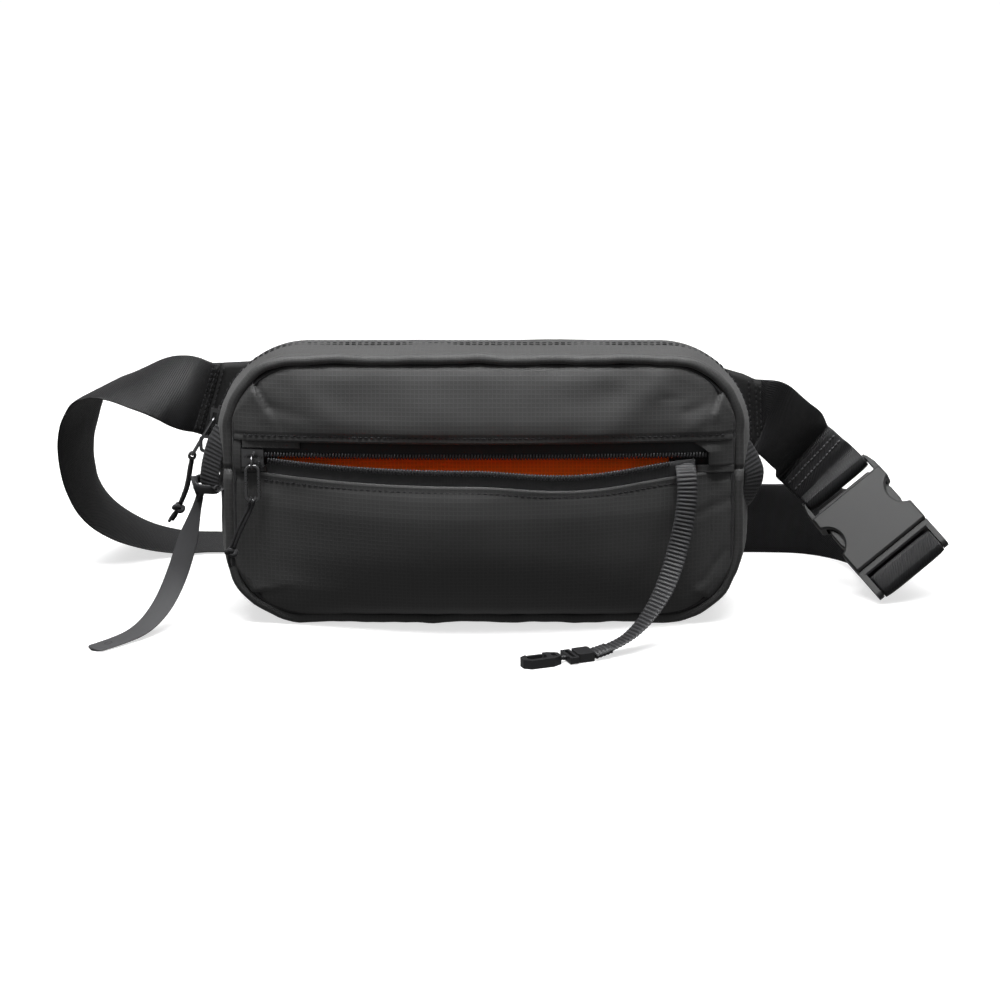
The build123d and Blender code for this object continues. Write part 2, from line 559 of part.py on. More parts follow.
def make_cords():
    nodes["leash"] = cord("leash", LEASH_ROUTE, LEASH_D)
    nodes["leash_anchor"] = block((93, 103), (-31.3, FRONT_Y), (76, 86.8))
    nodes["grip_strip"] = cord("grip_strip", STRIP_ROUTE, STRIP_D)
    nodes["main_pull_cord"] = cord("main_pull_cord", MAIN_CORD_ROUTE, PULL_D)
    nodes["front_pull_cord"] = cord("front_pull_cord", FRONT_CORD_ROUTE, PULL_D)
    nodes["main_pull_knot"] = knot(MAIN_CORD_ROUTE[-1], (-2.6, 0, -5.6), (-158.0, -2.2, 45.0))
    nodes["front_pull_knot"] = knot(FRONT_CORD_ROUTE[-1], (-1.7, -0.1, -5.4), (-124.0, -36.6, 31.5))
    hitch = Plane(origin=(-139.2, -17, 67.0), x_dir=(1, 0, 0), z_dir=(0.25, 0.6, 1)) * RectangleRounded(13, 9, 4)
    hitch_hole = Plane(origin=(-139.2, -17, 67.0), x_dir=(1, 0, 0), z_dir=(0.25, 0.6, 1)) * RectangleRounded(10, 6, 2.6)
    nodes["grip_hitch"] = extrude(hitch - hitch_hole, amount=3.2, both=True)


def make_hook():
    crimp = block((-12.0, -3.2), (-5.2, 5.2), (-2.0, 2.4))
    crimp = fillet(crimp.edges().filter_by(Axis.Z), 1.4)
    nodes["leash_crimp"] = HOOK * crimp

    eye = block((-3.0, 1.6), (-6.6, 6.6), (-1.6, 1.6)) - block((-1.6, 0.2), (-5.2, 5.2), (-3, 3))
    eye = fillet(eye.edges().filter_by(Axis.Z).group_by(Axis.X)[0], 0.6)
    post = Pos(4.6, 0, 0) * Rotation(0, 90, 0) * Cylinder(1.2, 6.4)
    head = Pos(7.6, 0, 0) * Rotation(0, 90, 0) * Cylinder(1.75, 1.0)
    nodes["hook_swivel_eye"] = HOOK * (eye + post + head)

    outline = Polygon((4.6, -2.6), (6.6, -3.6), (9.5, -5.0), (20, -5.0), (24.2, -2.6), (24.2, 2.2), (21, 4.8), (9.5, 5.0),
                      (6.6, 3.6), (4.6, 2.6), align=None)
    body = extrude(outline, amount=2.2, both=True)
    body = fillet(body.edges().filter_by(Axis.Z), 1.2)
    body -= Pos(7.7, 0, 0) * Box(2.2, 4.4, 6)
    body -= Pos(5.6, 0, 0) * Rotation(0, 90, 0) * Cylinder(1.27, 4)
    throat = block((11.5, 21.4), (-2.7, 2.5), (-5, 5))
    throat = fillet(throat.edges().filter_by(Axis.Z), 2.0)
    body -= throat
    body -= block((11.8, 20.6), (-9, -2.0), (-5, 5))
    nodes["hook_body"] = HOOK * body
    gate = block((12.2, 20.1), (-4.7, -3.0), (-1.7, 1.7))
    gate = fillet(gate.edges().filter_by(Axis.Z), 0.7)
    nodes["hook_gate"] = HOOK * gate
    print("gate pivot", HOOK.from_local_coords((12.9, -3.85, 0)), "axis", HOOK_AXIS)


make_shell()
make_main_zip()
make_front()
make_front_slider()
make_strap()
make_short_strap()
make_tabs()
make_buckle()
make_cords()
make_hook()

for node, shape in nodes.items():
    export_step(shape, f"parts/{node}.step")
print(len(nodes), "nodes")
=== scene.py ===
from bisect import bisect_right
from math import cos, pi, radians, sin, sqrt

import bpy
import numpy as np
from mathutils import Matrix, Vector, noise


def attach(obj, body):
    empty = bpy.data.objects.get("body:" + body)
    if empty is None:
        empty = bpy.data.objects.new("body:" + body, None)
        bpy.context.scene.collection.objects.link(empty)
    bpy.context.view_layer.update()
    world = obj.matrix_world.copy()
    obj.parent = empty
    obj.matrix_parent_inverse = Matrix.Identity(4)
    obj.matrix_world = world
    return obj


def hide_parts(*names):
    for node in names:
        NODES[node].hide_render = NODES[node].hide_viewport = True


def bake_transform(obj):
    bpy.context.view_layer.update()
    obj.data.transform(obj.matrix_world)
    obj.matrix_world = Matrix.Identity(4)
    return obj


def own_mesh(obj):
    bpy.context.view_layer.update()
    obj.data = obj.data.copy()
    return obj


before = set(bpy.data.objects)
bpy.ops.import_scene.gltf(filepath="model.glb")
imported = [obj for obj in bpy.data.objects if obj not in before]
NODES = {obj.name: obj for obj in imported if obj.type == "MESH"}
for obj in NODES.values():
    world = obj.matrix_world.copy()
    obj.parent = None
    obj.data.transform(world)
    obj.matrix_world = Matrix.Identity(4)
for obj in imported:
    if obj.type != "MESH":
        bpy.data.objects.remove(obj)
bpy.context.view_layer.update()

MM = 0.001                    # shapes are worked out in millimetres and written in metres


def link_object(name, data):
    made = bpy.data.objects.new(name, data)
    bpy.context.collection.objects.link(made)
    return made


def unit(v):
    v = np.asarray(v, float)
    return v / np.maximum(np.linalg.norm(v, axis=-1, keepdims=True), 1e-9)


# ---------------------------------------------------------------- camera and light
TARGET = Vector((8, -28, 64)) * MM
TILT = radians(16)            # how far the camera looks down
CAMERA_DISTANCE = 1.5
camera_data = bpy.data.cameras.new("camera")
camera_data.lens = 109.6
camera_data.sensor_width = 36.0
camera_data.clip_end = 60
camera = link_object("camera", camera_data)
camera.location = TARGET + Vector((0, -cos(TILT), sin(TILT))) * CAMERA_DISTANCE
camera.rotation_euler = (pi / 2 - TILT, 0, 0)
bpy.context.scene.camera = camera
bpy.context.scene.view_settings.view_transform = "Standard"

world = bpy.data.worlds.new("world")
bpy.context.scene.world = world
world.use_nodes = True
background = world.node_tree.nodes["Background"]
background.inputs["Color"].default_value = (0.97, 0.97, 0.97, 1)
background.inputs["Strength"].default_value = 0.19


def area_light(name, place, target, size, power):
    """A rectangular light at a place, turned to a target; both and its size are in metres."""
    data = bpy.data.lights.new(name, "AREA")
    data.shape = "RECTANGLE"
    data.size, data.size_y = size
    data.energy = power
    light = link_object(name, data)
    light.location = place
    light.rotation_euler = (Vector(target) - Vector(place)).to_track_quat("-Z", "Y").to_euler()


area_light("overhead", (0.05, 0.3, 1.6), (0, 0, 0.05), (1.9, 1.2), 22)
area_light("upper_front", (-0.12, -0.48, 1.7), (0, -0.03, 0.09), (1.4, 0.4), 41)
area_light("left_fill", (-1.5, -1.0, 0.8), (0, 0, 0.06), (0.5, 1.0), 2.4)
area_light("right_fill", (1.6, -0.9, 1.0), (0.05, 0, 0.06), (0.5, 1.0), 2.0)
sky = bpy.data.lights.new("sky", "SUN")
sky.energy = 1.25
sky.angle = radians(70)
link_object("sky", sky)


# ---------------------------------------------------------------- materials
class Material:
    """A node material with a Principled shader, and short ways to make and join its nodes."""

    def __init__(self, name, color, roughness=0.7, **sockets):
        self.material = bpy.data.materials.new(name)
        self.material.use_nodes = True
        self.tree = self.material.node_tree
        self.shader = self.tree.nodes["Principled BSDF"]
        self.base = color
        self.put("Base Color", (*color, 1))
        self.put("Roughness", roughness)
        for socket, value in sockets.items():
            self.put(socket.replace("_", " "), value)

    def put(self, socket, value):
        self.shader.inputs[socket].default_value = value

    def node(self, kind, values=None, **settings):
        """A new node; values are put on its inputs, or joined to them when they are another node's output."""
        made = self.tree.nodes.new(kind)
        for key, value in settings.items():
            setattr(made, key, value)
        for socket, value in (values or {}).items():
            if isinstance(value, bpy.types.NodeSocket):
                self.tree.links.new(value, made.inputs[socket])
            else:
                made.inputs[socket].default_value = value
        return made

    def drive(self, socket, out):
        self.tree.links.new(out, self.shader.inputs[socket])

    def math(self, operation, *values):
        return self.node("ShaderNodeMath", dict(enumerate(values)), operation=operation).outputs[0]

    def weighted(self, *terms):
        """The sum of (value, weight) terms."""
        total = None
        for value, weight in terms:
            value = value if weight == 1 else self.math("MULTIPLY", value, weight)
            total = value if total is None else self.math("ADD", total, value)
        return total

    def uv(self):
        """The two lengths along the cloth, in millimetres."""
        split = self.node("ShaderNodeSeparateXYZ", {0: self.node("ShaderNodeTexCoord").outputs["UV"]})
        return [self.math("MULTIPLY", split.outputs[i], 1 / MM) for i in range(2)]

    def noise(self, scale, detail=3.0):
        place = self.node("ShaderNodeTexCoord").outputs["Object"]
        values = {"Scale": scale, "Detail": detail, "Vector": place}
        return self.node("ShaderNodeTexNoise", values).outputs["Fac"]

    def wave(self, along, pitch, sharp=1.0):
        """0..1, highest once in every pitch of along."""
        turned = self.math("COSINE", self.math("MULTIPLY", along, pi / pitch))
        return self.math("POWER", self.math("ABSOLUTE", turned), sharp)

    def tint(self, amount, low=0.8, high=1.2):
        """Scales the base colour between low and high by amount, 0..1."""
        dark, light = ((*[c * scale for c in self.base], 1) for scale in (low, high))
        mix = self.node("ShaderNodeMix", {"Factor": amount, "A": dark, "B": light}, data_type="RGBA")
        self.drive("Base Color", mix.outputs["Result"])

    def bump(self, height, depth_mm, strength=0.8):
        values = {"Distance": depth_mm * MM, "Strength": strength, "Height": height}
        self.drive("Normal", self.node("ShaderNodeBump", values).outputs[0])

    def rough(self, amount, low, high):
        values = {"Value": amount, "To Min": low, "To Max": high}
        self.drive("Roughness", self.node("ShaderNodeMapRange", values).outputs[0])


def ripstop(name, color, grid=2.1, roughness=0.6):
    """A fine plain weave with a thicker thread at every grid line."""
    mat = Material(name, color, roughness, Sheen_Weight=0.1, Sheen_Roughness=0.45, Specular_IOR_Level=0.35)
    u, v = mat.uv()
    lines = mat.math("MAXIMUM", mat.wave(u, grid, 14), mat.wave(v, grid, 14))
    weave = mat.math("MULTIPLY", mat.wave(u, 0.36), mat.wave(v, 0.36))
    mottle = mat.noise(28, 4)
    mat.tint(mat.weighted((lines, 0.34), (mottle, 0.5), (weave, 0.1)), 0.74, 1.38)
    mat.bump(mat.weighted((lines, 1), (weave, 0.35)), 0.06, 0.7)
    mat.rough(mottle, roughness - 0.08, roughness + 0.1)
    return mat.material


def twill(name, color, pitch=1.15, roughness=0.42):
    """Webbing: slanting ridges, broken up by the weft."""
    mat = Material(name, color, roughness, Sheen_Weight=0.04, Sheen_Roughness=0.4, Specular_IOR_Level=0.3)
    u, v = mat.uv()
    slant = mat.wave(mat.math("ADD", u, v), pitch, 1.4)
    weft = mat.wave(u, pitch / 2)
    wear = mat.noise(60)
    mat.tint(mat.weighted((slant, 0.6), (wear, 0.4)), 0.5, 1.75)
    mat.bump(mat.weighted((slant, 1), (weft, 0.35)), 0.22)
    mat.rough(wear, roughness - 0.1, roughness + 0.12)
    return mat.material


def woven_tape(name, color, pitch):
    mat = Material(name, color, 0.8, Sheen_Weight=0.08)
    u, v = mat.uv()
    threads = mat.math("MULTIPLY", mat.wave(u, pitch), mat.wave(v, pitch * 0.8))
    mat.tint(mat.weighted((threads, 0.6), (mat.noise(80), 0.4)), 0.7, 1.5)
    mat.bump(threads, 0.14)
    return mat.material


def ribbed(name, color, pitch):
    """Webbing with ribs across it; the ribs themselves are in the mesh, and the colour adds a painted
    highlight on their crests and painted shade in their grooves.
    """
    mat = Material(name, color, 0.5, Sheen_Weight=0.06, Specular_IOR_Level=0.4)
    u, v = mat.uv()
    rib = mat.wave(u, pitch, 2.2)
    thread = mat.wave(v, 0.4)
    # Painted highlight and shade: the rib crests are painted much lighter and the grooves much darker, as
    # light from above falls on them.
    mat.tint(mat.weighted((rib, 0.75), (thread, 0.15)), 0.15, 5.5)
    mat.bump(mat.weighted((rib, 1), (thread, 0.25)), 0.2)
    return mat.material


def moulded(name, color, roughness, grain=900, **sockets):
    """Moulded plastic or plated metal with a fine surface."""
    mat = Material(name, color, roughness, **sockets)
    fine = mat.noise(grain, 2)
    broad = mat.noise(35)
    mat.tint(broad, 0.85, 1.15)
    mat.rough(mat.weighted((broad, 0.6), (fine, 0.4)), roughness - 0.08, roughness + 0.12)
    mat.bump(fine, 0.03, 0.4)
    return mat.material


def braided(name, color, pitch):
    mat = Material(name, color, 0.65, Sheen_Weight=0.04, Specular_IOR_Level=0.35)
    u, v = mat.uv()
    left = mat.wave(mat.math("ADD", u, v), pitch, 1.5)
    right = mat.wave(mat.math("SUBTRACT", u, v), pitch, 1.5)
    plait = mat.math("MAXIMUM", left, right)
    mat.tint(plait, 0.4, 1.8)
    mat.bump(plait, 0.15)
    return mat.material


def spacer_mesh(name, color, row=2.4, column=1.6):
    """Knitted mesh with rows of small round holes, every second row set half a hole on."""
    mat = Material(name, color, 0.8, Sheen_Weight=0.15)
    u, v = mat.uv()
    hole_a = mat.math("MULTIPLY", mat.wave(u, row, 2), mat.wave(v, column, 2))
    shift_u, shift_v = mat.math("ADD", u, row / 2), mat.math("ADD", v, column / 2)
    hole_b = mat.math("MULTIPLY", mat.wave(shift_u, row, 2), mat.wave(shift_v, column, 2))
    solid = mat.math("SUBTRACT", 1.0, mat.math("MAXIMUM", hole_a, hole_b))
    mat.tint(solid, 0.25, 1.5)
    mat.bump(solid, 0.5)
    return mat.material


RIB_PITCH = 2.0
SHELL = ripstop("ripstop", (0.0405, 0.0405, 0.0405))
# The wings' cloth is the shell's ripstop made much darker: painted shade, for wings that sit in shade.
SHELL_PAINTED_SHADE = ripstop("ripstop_wing_painted_shade", (0.008, 0.008, 0.0082), 2.1, 0.7)
LINING = ripstop("lining_cloth", (0.8, 0.19, 0.012), 1.9, 0.55)
BINDING = woven_tape("binding_tape", (0.012, 0.012, 0.013), 0.8)
TAPE = woven_tape("zip_tape_cloth", (0.012, 0.012, 0.013), 0.7)
COIL = moulded("coil_nylon", (0.03, 0.03, 0.032), 0.3)
METAL = moulded("black_nickel", (0.2, 0.2, 0.205), 0.27, 1200, Metallic=1.0)
CORD = braided("braided_cord", (0.011, 0.011, 0.012), 1.0)
WEB = twill("twill_webbing", (0.006, 0.006, 0.0066))
RIBBED = ribbed("ribbed_band_painted_highlight", (0.0072, 0.0072, 0.0078), RIB_PITCH)
STRIP = moulded("coated_strip", (0.036, 0.036, 0.038), 0.66, 700, Specular_IOR_Level=0.35)
PLASTIC = moulded("buckle_acetal", (0.024, 0.024, 0.0242), 0.4, 1100, Specular_IOR_Level=0.35)
HOOK_BLACK = moulded("hook_enamel", (0.02, 0.02, 0.021), 0.3)
MESH_CLOTH = spacer_mesh("spacer_mesh_cloth", (0.03, 0.03, 0.032))
THREAD = braided("sewing_thread", (0.007, 0.007, 0.008), 0.4)
# The short strap's thread: grey thread, made paler still by a painted highlight for stitches that catch the
# light.
THREAD_GREY_PAINTED_HIGHLIGHT = braided("strap_thread_painted_highlight", (0.07, 0.07, 0.073), 0.4)


# ---------------------------------------------------------------- mesh helpers
class Parts:
    """Collects vertices, faces and cloth lengths, and makes one object of them."""

    def __init__(self):
        self.verts, self.faces, self.lengths = [], [], []

    def add(self, verts, faces, lengths):
        start = len(self.verts)
        self.verts.extend(tuple(v) for v in verts)
        self.faces.extend(tuple(start + i for i in face) for face in faces)
        self.lengths.extend(tuple(pair) for pair in lengths)
        return self

    def make(self, name, material, slot, replaced=None, body="root"):
        mesh = bpy.data.meshes.new(name)
        mesh.from_pydata([(x * MM, y * MM, z * MM) for x, y, z in self.verts], [], self.faces)
        layer = mesh.uv_layers.new(name="cloth")
        corner_verts = np.zeros(len(mesh.loops), np.int32)
        mesh.loops.foreach_get("vertex_index", corner_verts)
        lengths = np.array(self.lengths, np.float32) * MM
        layer.data.foreach_set("uv", lengths[corner_verts].ravel())
        mesh.polygons.foreach_set("use_smooth", [True] * len(mesh.polygons))
        mesh.update()
        made = link_object(name, mesh)
        made.data.materials.append(material)
        if body:
            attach(made, body)
        if replaced:
            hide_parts(replaced)
        return made


def sheet_parts(parts, points, lengths, thickness, sign=1.0):
    """A cloth surface with thickness behind it. points is (rows, columns, 3), lengths (rows, columns, 2)."""
    rows, columns = points.shape[:2]
    normals = unit(np.cross(np.gradient(points, axis=1), np.gradient(points, axis=0)))
    behind = points - normals * thickness * sign
    verts = np.concatenate([points.reshape(-1, 3), behind.reshape(-1, 3)])
    count = rows * columns
    faces = []
    for r in range(rows - 1):
        for c in range(columns - 1):
            a, b = r * columns + c, r * columns + c + 1
            d, e = a + columns, b + columns
            front = (a, b, e, d) if sign > 0 else (a, d, e, b)
            faces.append(front)
            faces.append(tuple(count + i for i in reversed(front)))
    edge = ([(0, c) for c in range(columns)] + [(r, columns - 1) for r in range(1, rows)]
            + [(rows - 1, c) for c in range(columns - 2, -1, -1)] + [(r, 0) for r in range(rows - 2, 0, -1)])
    ids = [r * columns + c for r, c in edge]
    for a, b in zip(ids, ids[1:] + ids[:1]):
        faces.append((b, a, count + a, count + b) if sign > 0 else (a, b, count + b, count + a))
    flat = lengths.reshape(-1, 2)
    return parts.add(verts, faces, np.concatenate([flat, flat]))


def sheet_points(across, up, place):
    """The points of a sheet: place(x, share) for each column across and each row up."""
    return np.array([[place(x, share) for x in across] for share in up])


def upright(points):
    """Cloth lengths of a piece that stands facing the front or the back: its x and z."""
    return np.stack([points[..., 0], points[..., 2]], -1)


def cloth(name, points, thickness, material, slot, sign, replaced, lengths=None):
    lengths = upright(points) if lengths is None else lengths
    return sheet_parts(Parts(), points, lengths, thickness, sign).make(name, material, slot, replaced)


def ruffle(points, scale, seed):
    """Smooth noise, -1..1, at each point; scale is the size of its waves."""
    flat = points.reshape(-1, 3)
    place = Vector((seed * 17.3, seed * 5.1, seed * 9.7))
    values = [noise.noise(Vector(p) / scale + place) for p in flat]
    return np.array(values).reshape(points.shape[:-1])


def wrinkle(across, up, scale, seed):
    """Smooth noise over flat cloth; a smaller share of a length stretches the waves along it."""
    return ruffle(np.stack([across, up, up * 0], -1), scale, seed)


def ramp(rise, width):
    """0 below zero, 1 above width, straight between."""
    return np.clip(rise / width, 0, 1)


def near(gap, reach):
    """1 at an edge and inside it, fading to 0 over reach."""
    return np.exp(-np.maximum(gap, 0) / reach)


def bell(away, width):
    return np.exp(-((away / width) ** 2))


def smooth_table(table, share):
    """A smooth rise through a table of share to value."""
    keys = sorted(table)
    vals = [table[k] for k in keys]
    slopes = np.gradient(vals, keys)
    share = min(max(share, keys[0]), keys[-1])
    i = min(bisect_right(keys, share), len(keys) - 1) - 1
    step = keys[i + 1] - keys[i]
    t = (share - keys[i]) / step
    return ((2 * t**3 - 3 * t**2 + 1) * vals[i] + (t**3 - 2 * t**2 + t) * step * slopes[i]
            + (3 * t**2 - 2 * t**3) * vals[i + 1] + (t**3 - t**2) * step * slopes[i + 1])


def catmull(points, steps):
    """A smooth line through the points."""
    points = np.asarray(points, float)
    ends = np.concatenate([[2 * points[0] - points[1]], points, [2 * points[-1] - points[-2]]])
    line = []
    for a, b, c, d in zip(ends, ends[1:], ends[2:], ends[3:]):
        for t in np.linspace(0, 1, steps, endpoint=False):
            line.append(0.5 * (2 * b + (c - a) * t + (2 * a - 5 * b + 4 * c - d) * t**2
                               + (3 * b - a - 3 * c + d) * t**3))
    line.append(points[-1])
    return np.array(line)


def travelled(line):
    return np.concatenate([[0], np.cumsum(np.linalg.norm(np.diff(line, axis=0), axis=1))])


def read_along(place, far, values):
    """Vectors read at one place along a line, or at several; far is how far along it each value stands."""
    return np.stack([np.interp(place, far, values[:, k]) for k in range(values.shape[1])], axis=-1)


def resample(line, pitch):
    """Points every pitch along a line, with its first and last."""
    far = travelled(line)
    count = max(2, int(round(far[-1] / pitch)) + 1)
    return read_along(np.linspace(0, far[-1], count), far, line)


def at_each(line, direction):
    """A direction for each point of a line, from one for all of them or from one for each."""
    return np.broadcast_to(np.asarray(direction, float), line.shape)


def tube_faces(around, count, closed=False):
    """The side faces of a tube made of count rings, with around points in each."""
    faces = []
    for i in range(count if closed else count - 1):
        this, after = i * around, (i + 1) % count * around
        for j in range(around):
            k = (j + 1) % around
            faces.append((this + j, this + k, after + k, after + j))
    return faces


class Ribbon:
    """Flat webbing along a line; across is the direction of its width, one for all points or one for each."""

    def __init__(self, centres, across):
        self.line = np.asarray(centres, float)
        self.tangent = unit(np.gradient(self.line, axis=0))
        across = at_each(self.line, across)
        self.across = unit(across - self.tangent * np.sum(across * self.tangent, axis=1, keepdims=True))
        self.face = np.cross(self.tangent, self.across)
        self.far = travelled(self.line)

    def crossing(self, far, half, lift, count=60):
        """A line straight across the ribbon at a distance along it, and the way the ribbon faces there."""
        centre, across, face = (read_along(far, self.far, v) for v in (self.line, self.across, self.face))
        offsets = np.linspace(-half, half, count)[:, None]
        return centre + across * offsets + face * lift, face * np.sign(lift)

    def build(self, parts, width, thickness, rib=0.0, end_round=0.0, cup=0.0, half_points=7, throat=None):
        """Adds the webbing. rib is the height of its ribs, cup bends its edges up, end_round rounds its far
        end over that length, and throat (share, reach) narrows its near end to a share of the width."""
        shares = np.sin(np.linspace(-1, 1, half_points) * pi / 2)
        loop = [(s, 1) for s in shares] + [(s, -1) for s in shares[::-1]]
        rows, lengths = [], []
        for centre, over, face, far in zip(self.line, self.across, self.face, self.far):
            half = width / 2
            left = self.far[-1] - far
            if throat:
                share, reach = throat
                t = min(far / reach, 1.0)
                half *= share + (1 - share) * t * t * (3 - 2 * t)
            if end_round and left < end_round:
                half *= sqrt(max(0.02, 1 - ((end_round - left) / end_round) ** 2))
            thick = thickness / 2 + rib * cos(2 * pi * far / RIB_PITCH)
            for share, side in loop:
                edge = (1 - abs(share) ** 6) * 0.75 + 0.25
                lift = side * thick * edge + cup * (share**2 - 0.4)
                rows.append(centre + over * share * half + face * lift)
                lengths.append((far, share * half))
        around, count = len(loop), len(self.line)
        faces = tube_faces(around, count)
        for base, turn in ((0, 1), ((count - 1) * around, -1)):
            for j in range(half_points - 1):
                quad = (base + j, base + around - 1 - j, base + around - 2 - j, base + j + 1)
                faces.append(quad[::turn])
        return parts.add(rows, faces, lengths)


def tube_parts(parts, line, radius, sides=10, closed=False, taper=0.0):
    """A round tube along a line; taper rounds its two ends off over that length."""
    line = np.asarray(line, float)
    count = len(line)
    tangent = unit(np.roll(line, -1, 0) - np.roll(line, 1, 0) if closed else np.gradient(line, axis=0))
    side = unit(np.cross(tangent[0], (0.31, 0.83, 0.47)))
    far = travelled(line)
    radii = np.broadcast_to(radius, (count,)).astype(float)
    verts, lengths = [], []
    for i in range(count):
        side = unit(side - tangent[i] * np.dot(side, tangent[i]))
        up = np.cross(tangent[i], side)
        r = radii[i]
        if taper:
            gap = min(far[i], far[-1] - far[i])
            r *= sqrt(max(0.03, 1 - max(0.0, 1 - gap / taper) ** 2))
        for j in range(sides):
            angle = 2 * pi * j / sides
            verts.append(line[i] + (side * cos(angle) + up * sin(angle)) * r)
            lengths.append((far[i], angle * radii[i]))
    faces = tube_faces(sides, count, closed)
    if not closed:
        faces.append(tuple(range(sides))[::-1])
        faces.append(tuple((count - 1) * sides + j for j in range(sides)))
    return parts.add(verts, faces, lengths)


def stitch_parts(parts, line, facing, pitch, length, radius):
    """Short rounded stitches along a line on the cloth, on the side it faces."""
    far = travelled(line)
    facing = at_each(line, facing)
    count = int(far[-1] / pitch)
    for i in range(count):
        middle = (i + 0.5) * far[-1] / count
        place = read_along(middle + np.array([-0.5, -0.28, 0.28, 0.5]) * length, far, line)
        out = unit(read_along(middle, far, facing))
        place = place + out * np.array([[-0.35], [1], [1], [-0.35]]) * radius * 0.5
        tube_parts(parts, place, np.array([0.55, 1, 1, 0.55]) * radius, sides=5)


def sew(name, slot, rows, pitch=3.0, length=2.1, radius=0.36, thread=THREAD, body="root"):
    """Sewing thread along each (line, facing) row, as one piece."""
    parts = Parts()
    for line, facing in rows:
        stitch_parts(parts, line, facing, pitch, length, radius)
    return parts.make(name, thread, slot, body=body)


COIL_PITCH, COIL_RADIUS = 1.5, 0.5
# One turn of a coil: how far across the zip, how high and how far along it each point is.
COIL_TURN = [(-0.5, -0.3, 0.12), (-0.38, 0.35, 0.1), (0.1, 0.6, 0.0), (0.42, 0.45, -0.08), (0.5, -0.2, -0.12)]


def coil_parts(parts, line, facing, across, width):
    """A row of zip coil: one rounded bar across the zip for each turn, with its loop at the free edge."""
    far = travelled(line)
    facing, across = at_each(line, facing), at_each(line, across)
    count = int(far[-1] / COIL_PITCH)
    for i in range(count):
        at = (i + 0.5) * far[-1] / count
        centre, up, over = (read_along(at, far, values) for values in (line, facing, across))
        along = unit(np.cross(up, over))
        place = [centre + over * a * width + up * h * COIL_RADIUS * 1.5 + along * s * COIL_PITCH
                 for a, h, s in COIL_TURN]
        tube_parts(parts, place, np.array([0.8, 1, 1, 1.15, 1.0]) * COIL_RADIUS, sides=6)
    return parts


def spline_points(name, route, pitch):
    """The line of a cord: a smooth NURBS curve with the route's points as its control points."""
    curve = bpy.data.curves.new(name, "CURVE")
    curve.dimensions = "3D"
    spline = curve.splines.new("NURBS")
    spline.points.add(len(route) - 1)
    for point, place in zip(spline.points, route):
        point.co = (*[value * MM for value in place], 1)
    spline.order_u = 3
    spline.use_endpoint_u = True
    spline.resolution_u = 24
    holder = link_object(name, curve)
    bpy.context.view_layer.update()
    mesh = bpy.data.meshes.new_from_object(holder.evaluated_get(bpy.context.evaluated_depsgraph_get()))
    line = np.array([v.co for v in mesh.vertices], float) / MM
    bpy.data.objects.remove(holder)
    bpy.data.meshes.remove(mesh)
    return resample(line, pitch)


def metres(line):
    return [tuple(float(x) * MM for x in p) for p in line]


def blend_vectors(keys, far):
    """Directions read along a line from (share, direction) keys."""
    shares, directions = zip(*keys)
    return unit(read_along(far / far[-1], shares, np.array(directions, float)))


# ---------------------------------------------------------------- leash, grip strip and pull cords
LEASH_ROUTE = [(98, -31.5, 84.3), (98.6, -41.5, 84.4), (99.5, -45, 71.5), (97.5, -48.5, 57), (93.5, -53, 42),
               (88, -59.5, 27), (78.5, -67, 13.5), (66, -74.5, 4.5), (52.4, -81.4, 2.3)]
STRIP_ROUTE = [(-141, -16, 62.5), (-144.5, -18, 50), (-148.5, -21, 37), (-153.2, -26, 22.5),
               (-159.5, -36, 10.5), (-168, -47.5, 3), (-179, -59, 0.9), (-190, -70.5, 0.85)]
MAIN_CORD_ROUTE = [(-145.9, -0.6, 78.0), (-147.2, -1.4, 72.2), (-148.1, -1.6, 65.8), (-150.0, -2.2, 59.8),
                   (-152.6, -2.2, 54.2)]
FRONT_CORD_ROUTE = [(-113.3, -37.7, 65.2), (-115.6, -37.7, 60), (-119.0, -37.2, 53.5), (-121.8, -37.0, 47),
                    (-123.7, -36.8, 41.6)]
LEASH_ACROSS = [(0, (1, 0, 0)), (0.3, (0.97, 0.2, 0)), (0.6, (0.88, -0.3, 0.25)), (0.85, (0.5, -0.86, 0.1)),
                (1, (0.375, -0.927, 0))]
STRIP_ACROSS = [(0, (0.8, -0.6, -0.2)), (0.2, (0.88, -0.42, -0.18)), (0.4, (0.96, -0.28, -0.1)),
                (0.65, (0.9, -0.42, 0)), (1, (0.73, -0.69, 0))]
FOLD_POINTS = 34              # how many of the leash's last points are doubled by its sewn fold
SLOT_FROM_TIP = 10.5          # the strip's slot, from its middle to the tip
SLOT_HALF, SLOT_HALF_WIDE = 2.2, 1.3
STRAND_RADIUS, LOOP_RADIUS, KNOT_RADIUS, TAIL_RADIUS = 0.78, 0.66, 1.2, 0.82


def make_leash():
    line = spline_points("leash_line", LEASH_ROUTE, 0.26)
    across = blend_vectors(LEASH_ACROSS, travelled(line))
    band = Ribbon(line, across).build(Parts(), 10.0, 1.5, rib=0.3, cup=0.25, half_points=9)
    leash = band.make("leash_band", RIBBED, "ribbed_webbing", "leash")
    doubled = Ribbon(line[-FOLD_POINTS:], across[-FOLD_POINTS:])
    fold_parts = doubled.build(Parts(), 10.8, 3.3, rib=0.25, half_points=9)
    hem = fold_parts.make("leash_fold", RIBBED, "ribbed_webbing")
    metres([LEASH_ROUTE[0]])[0]
    metres(line[::4])


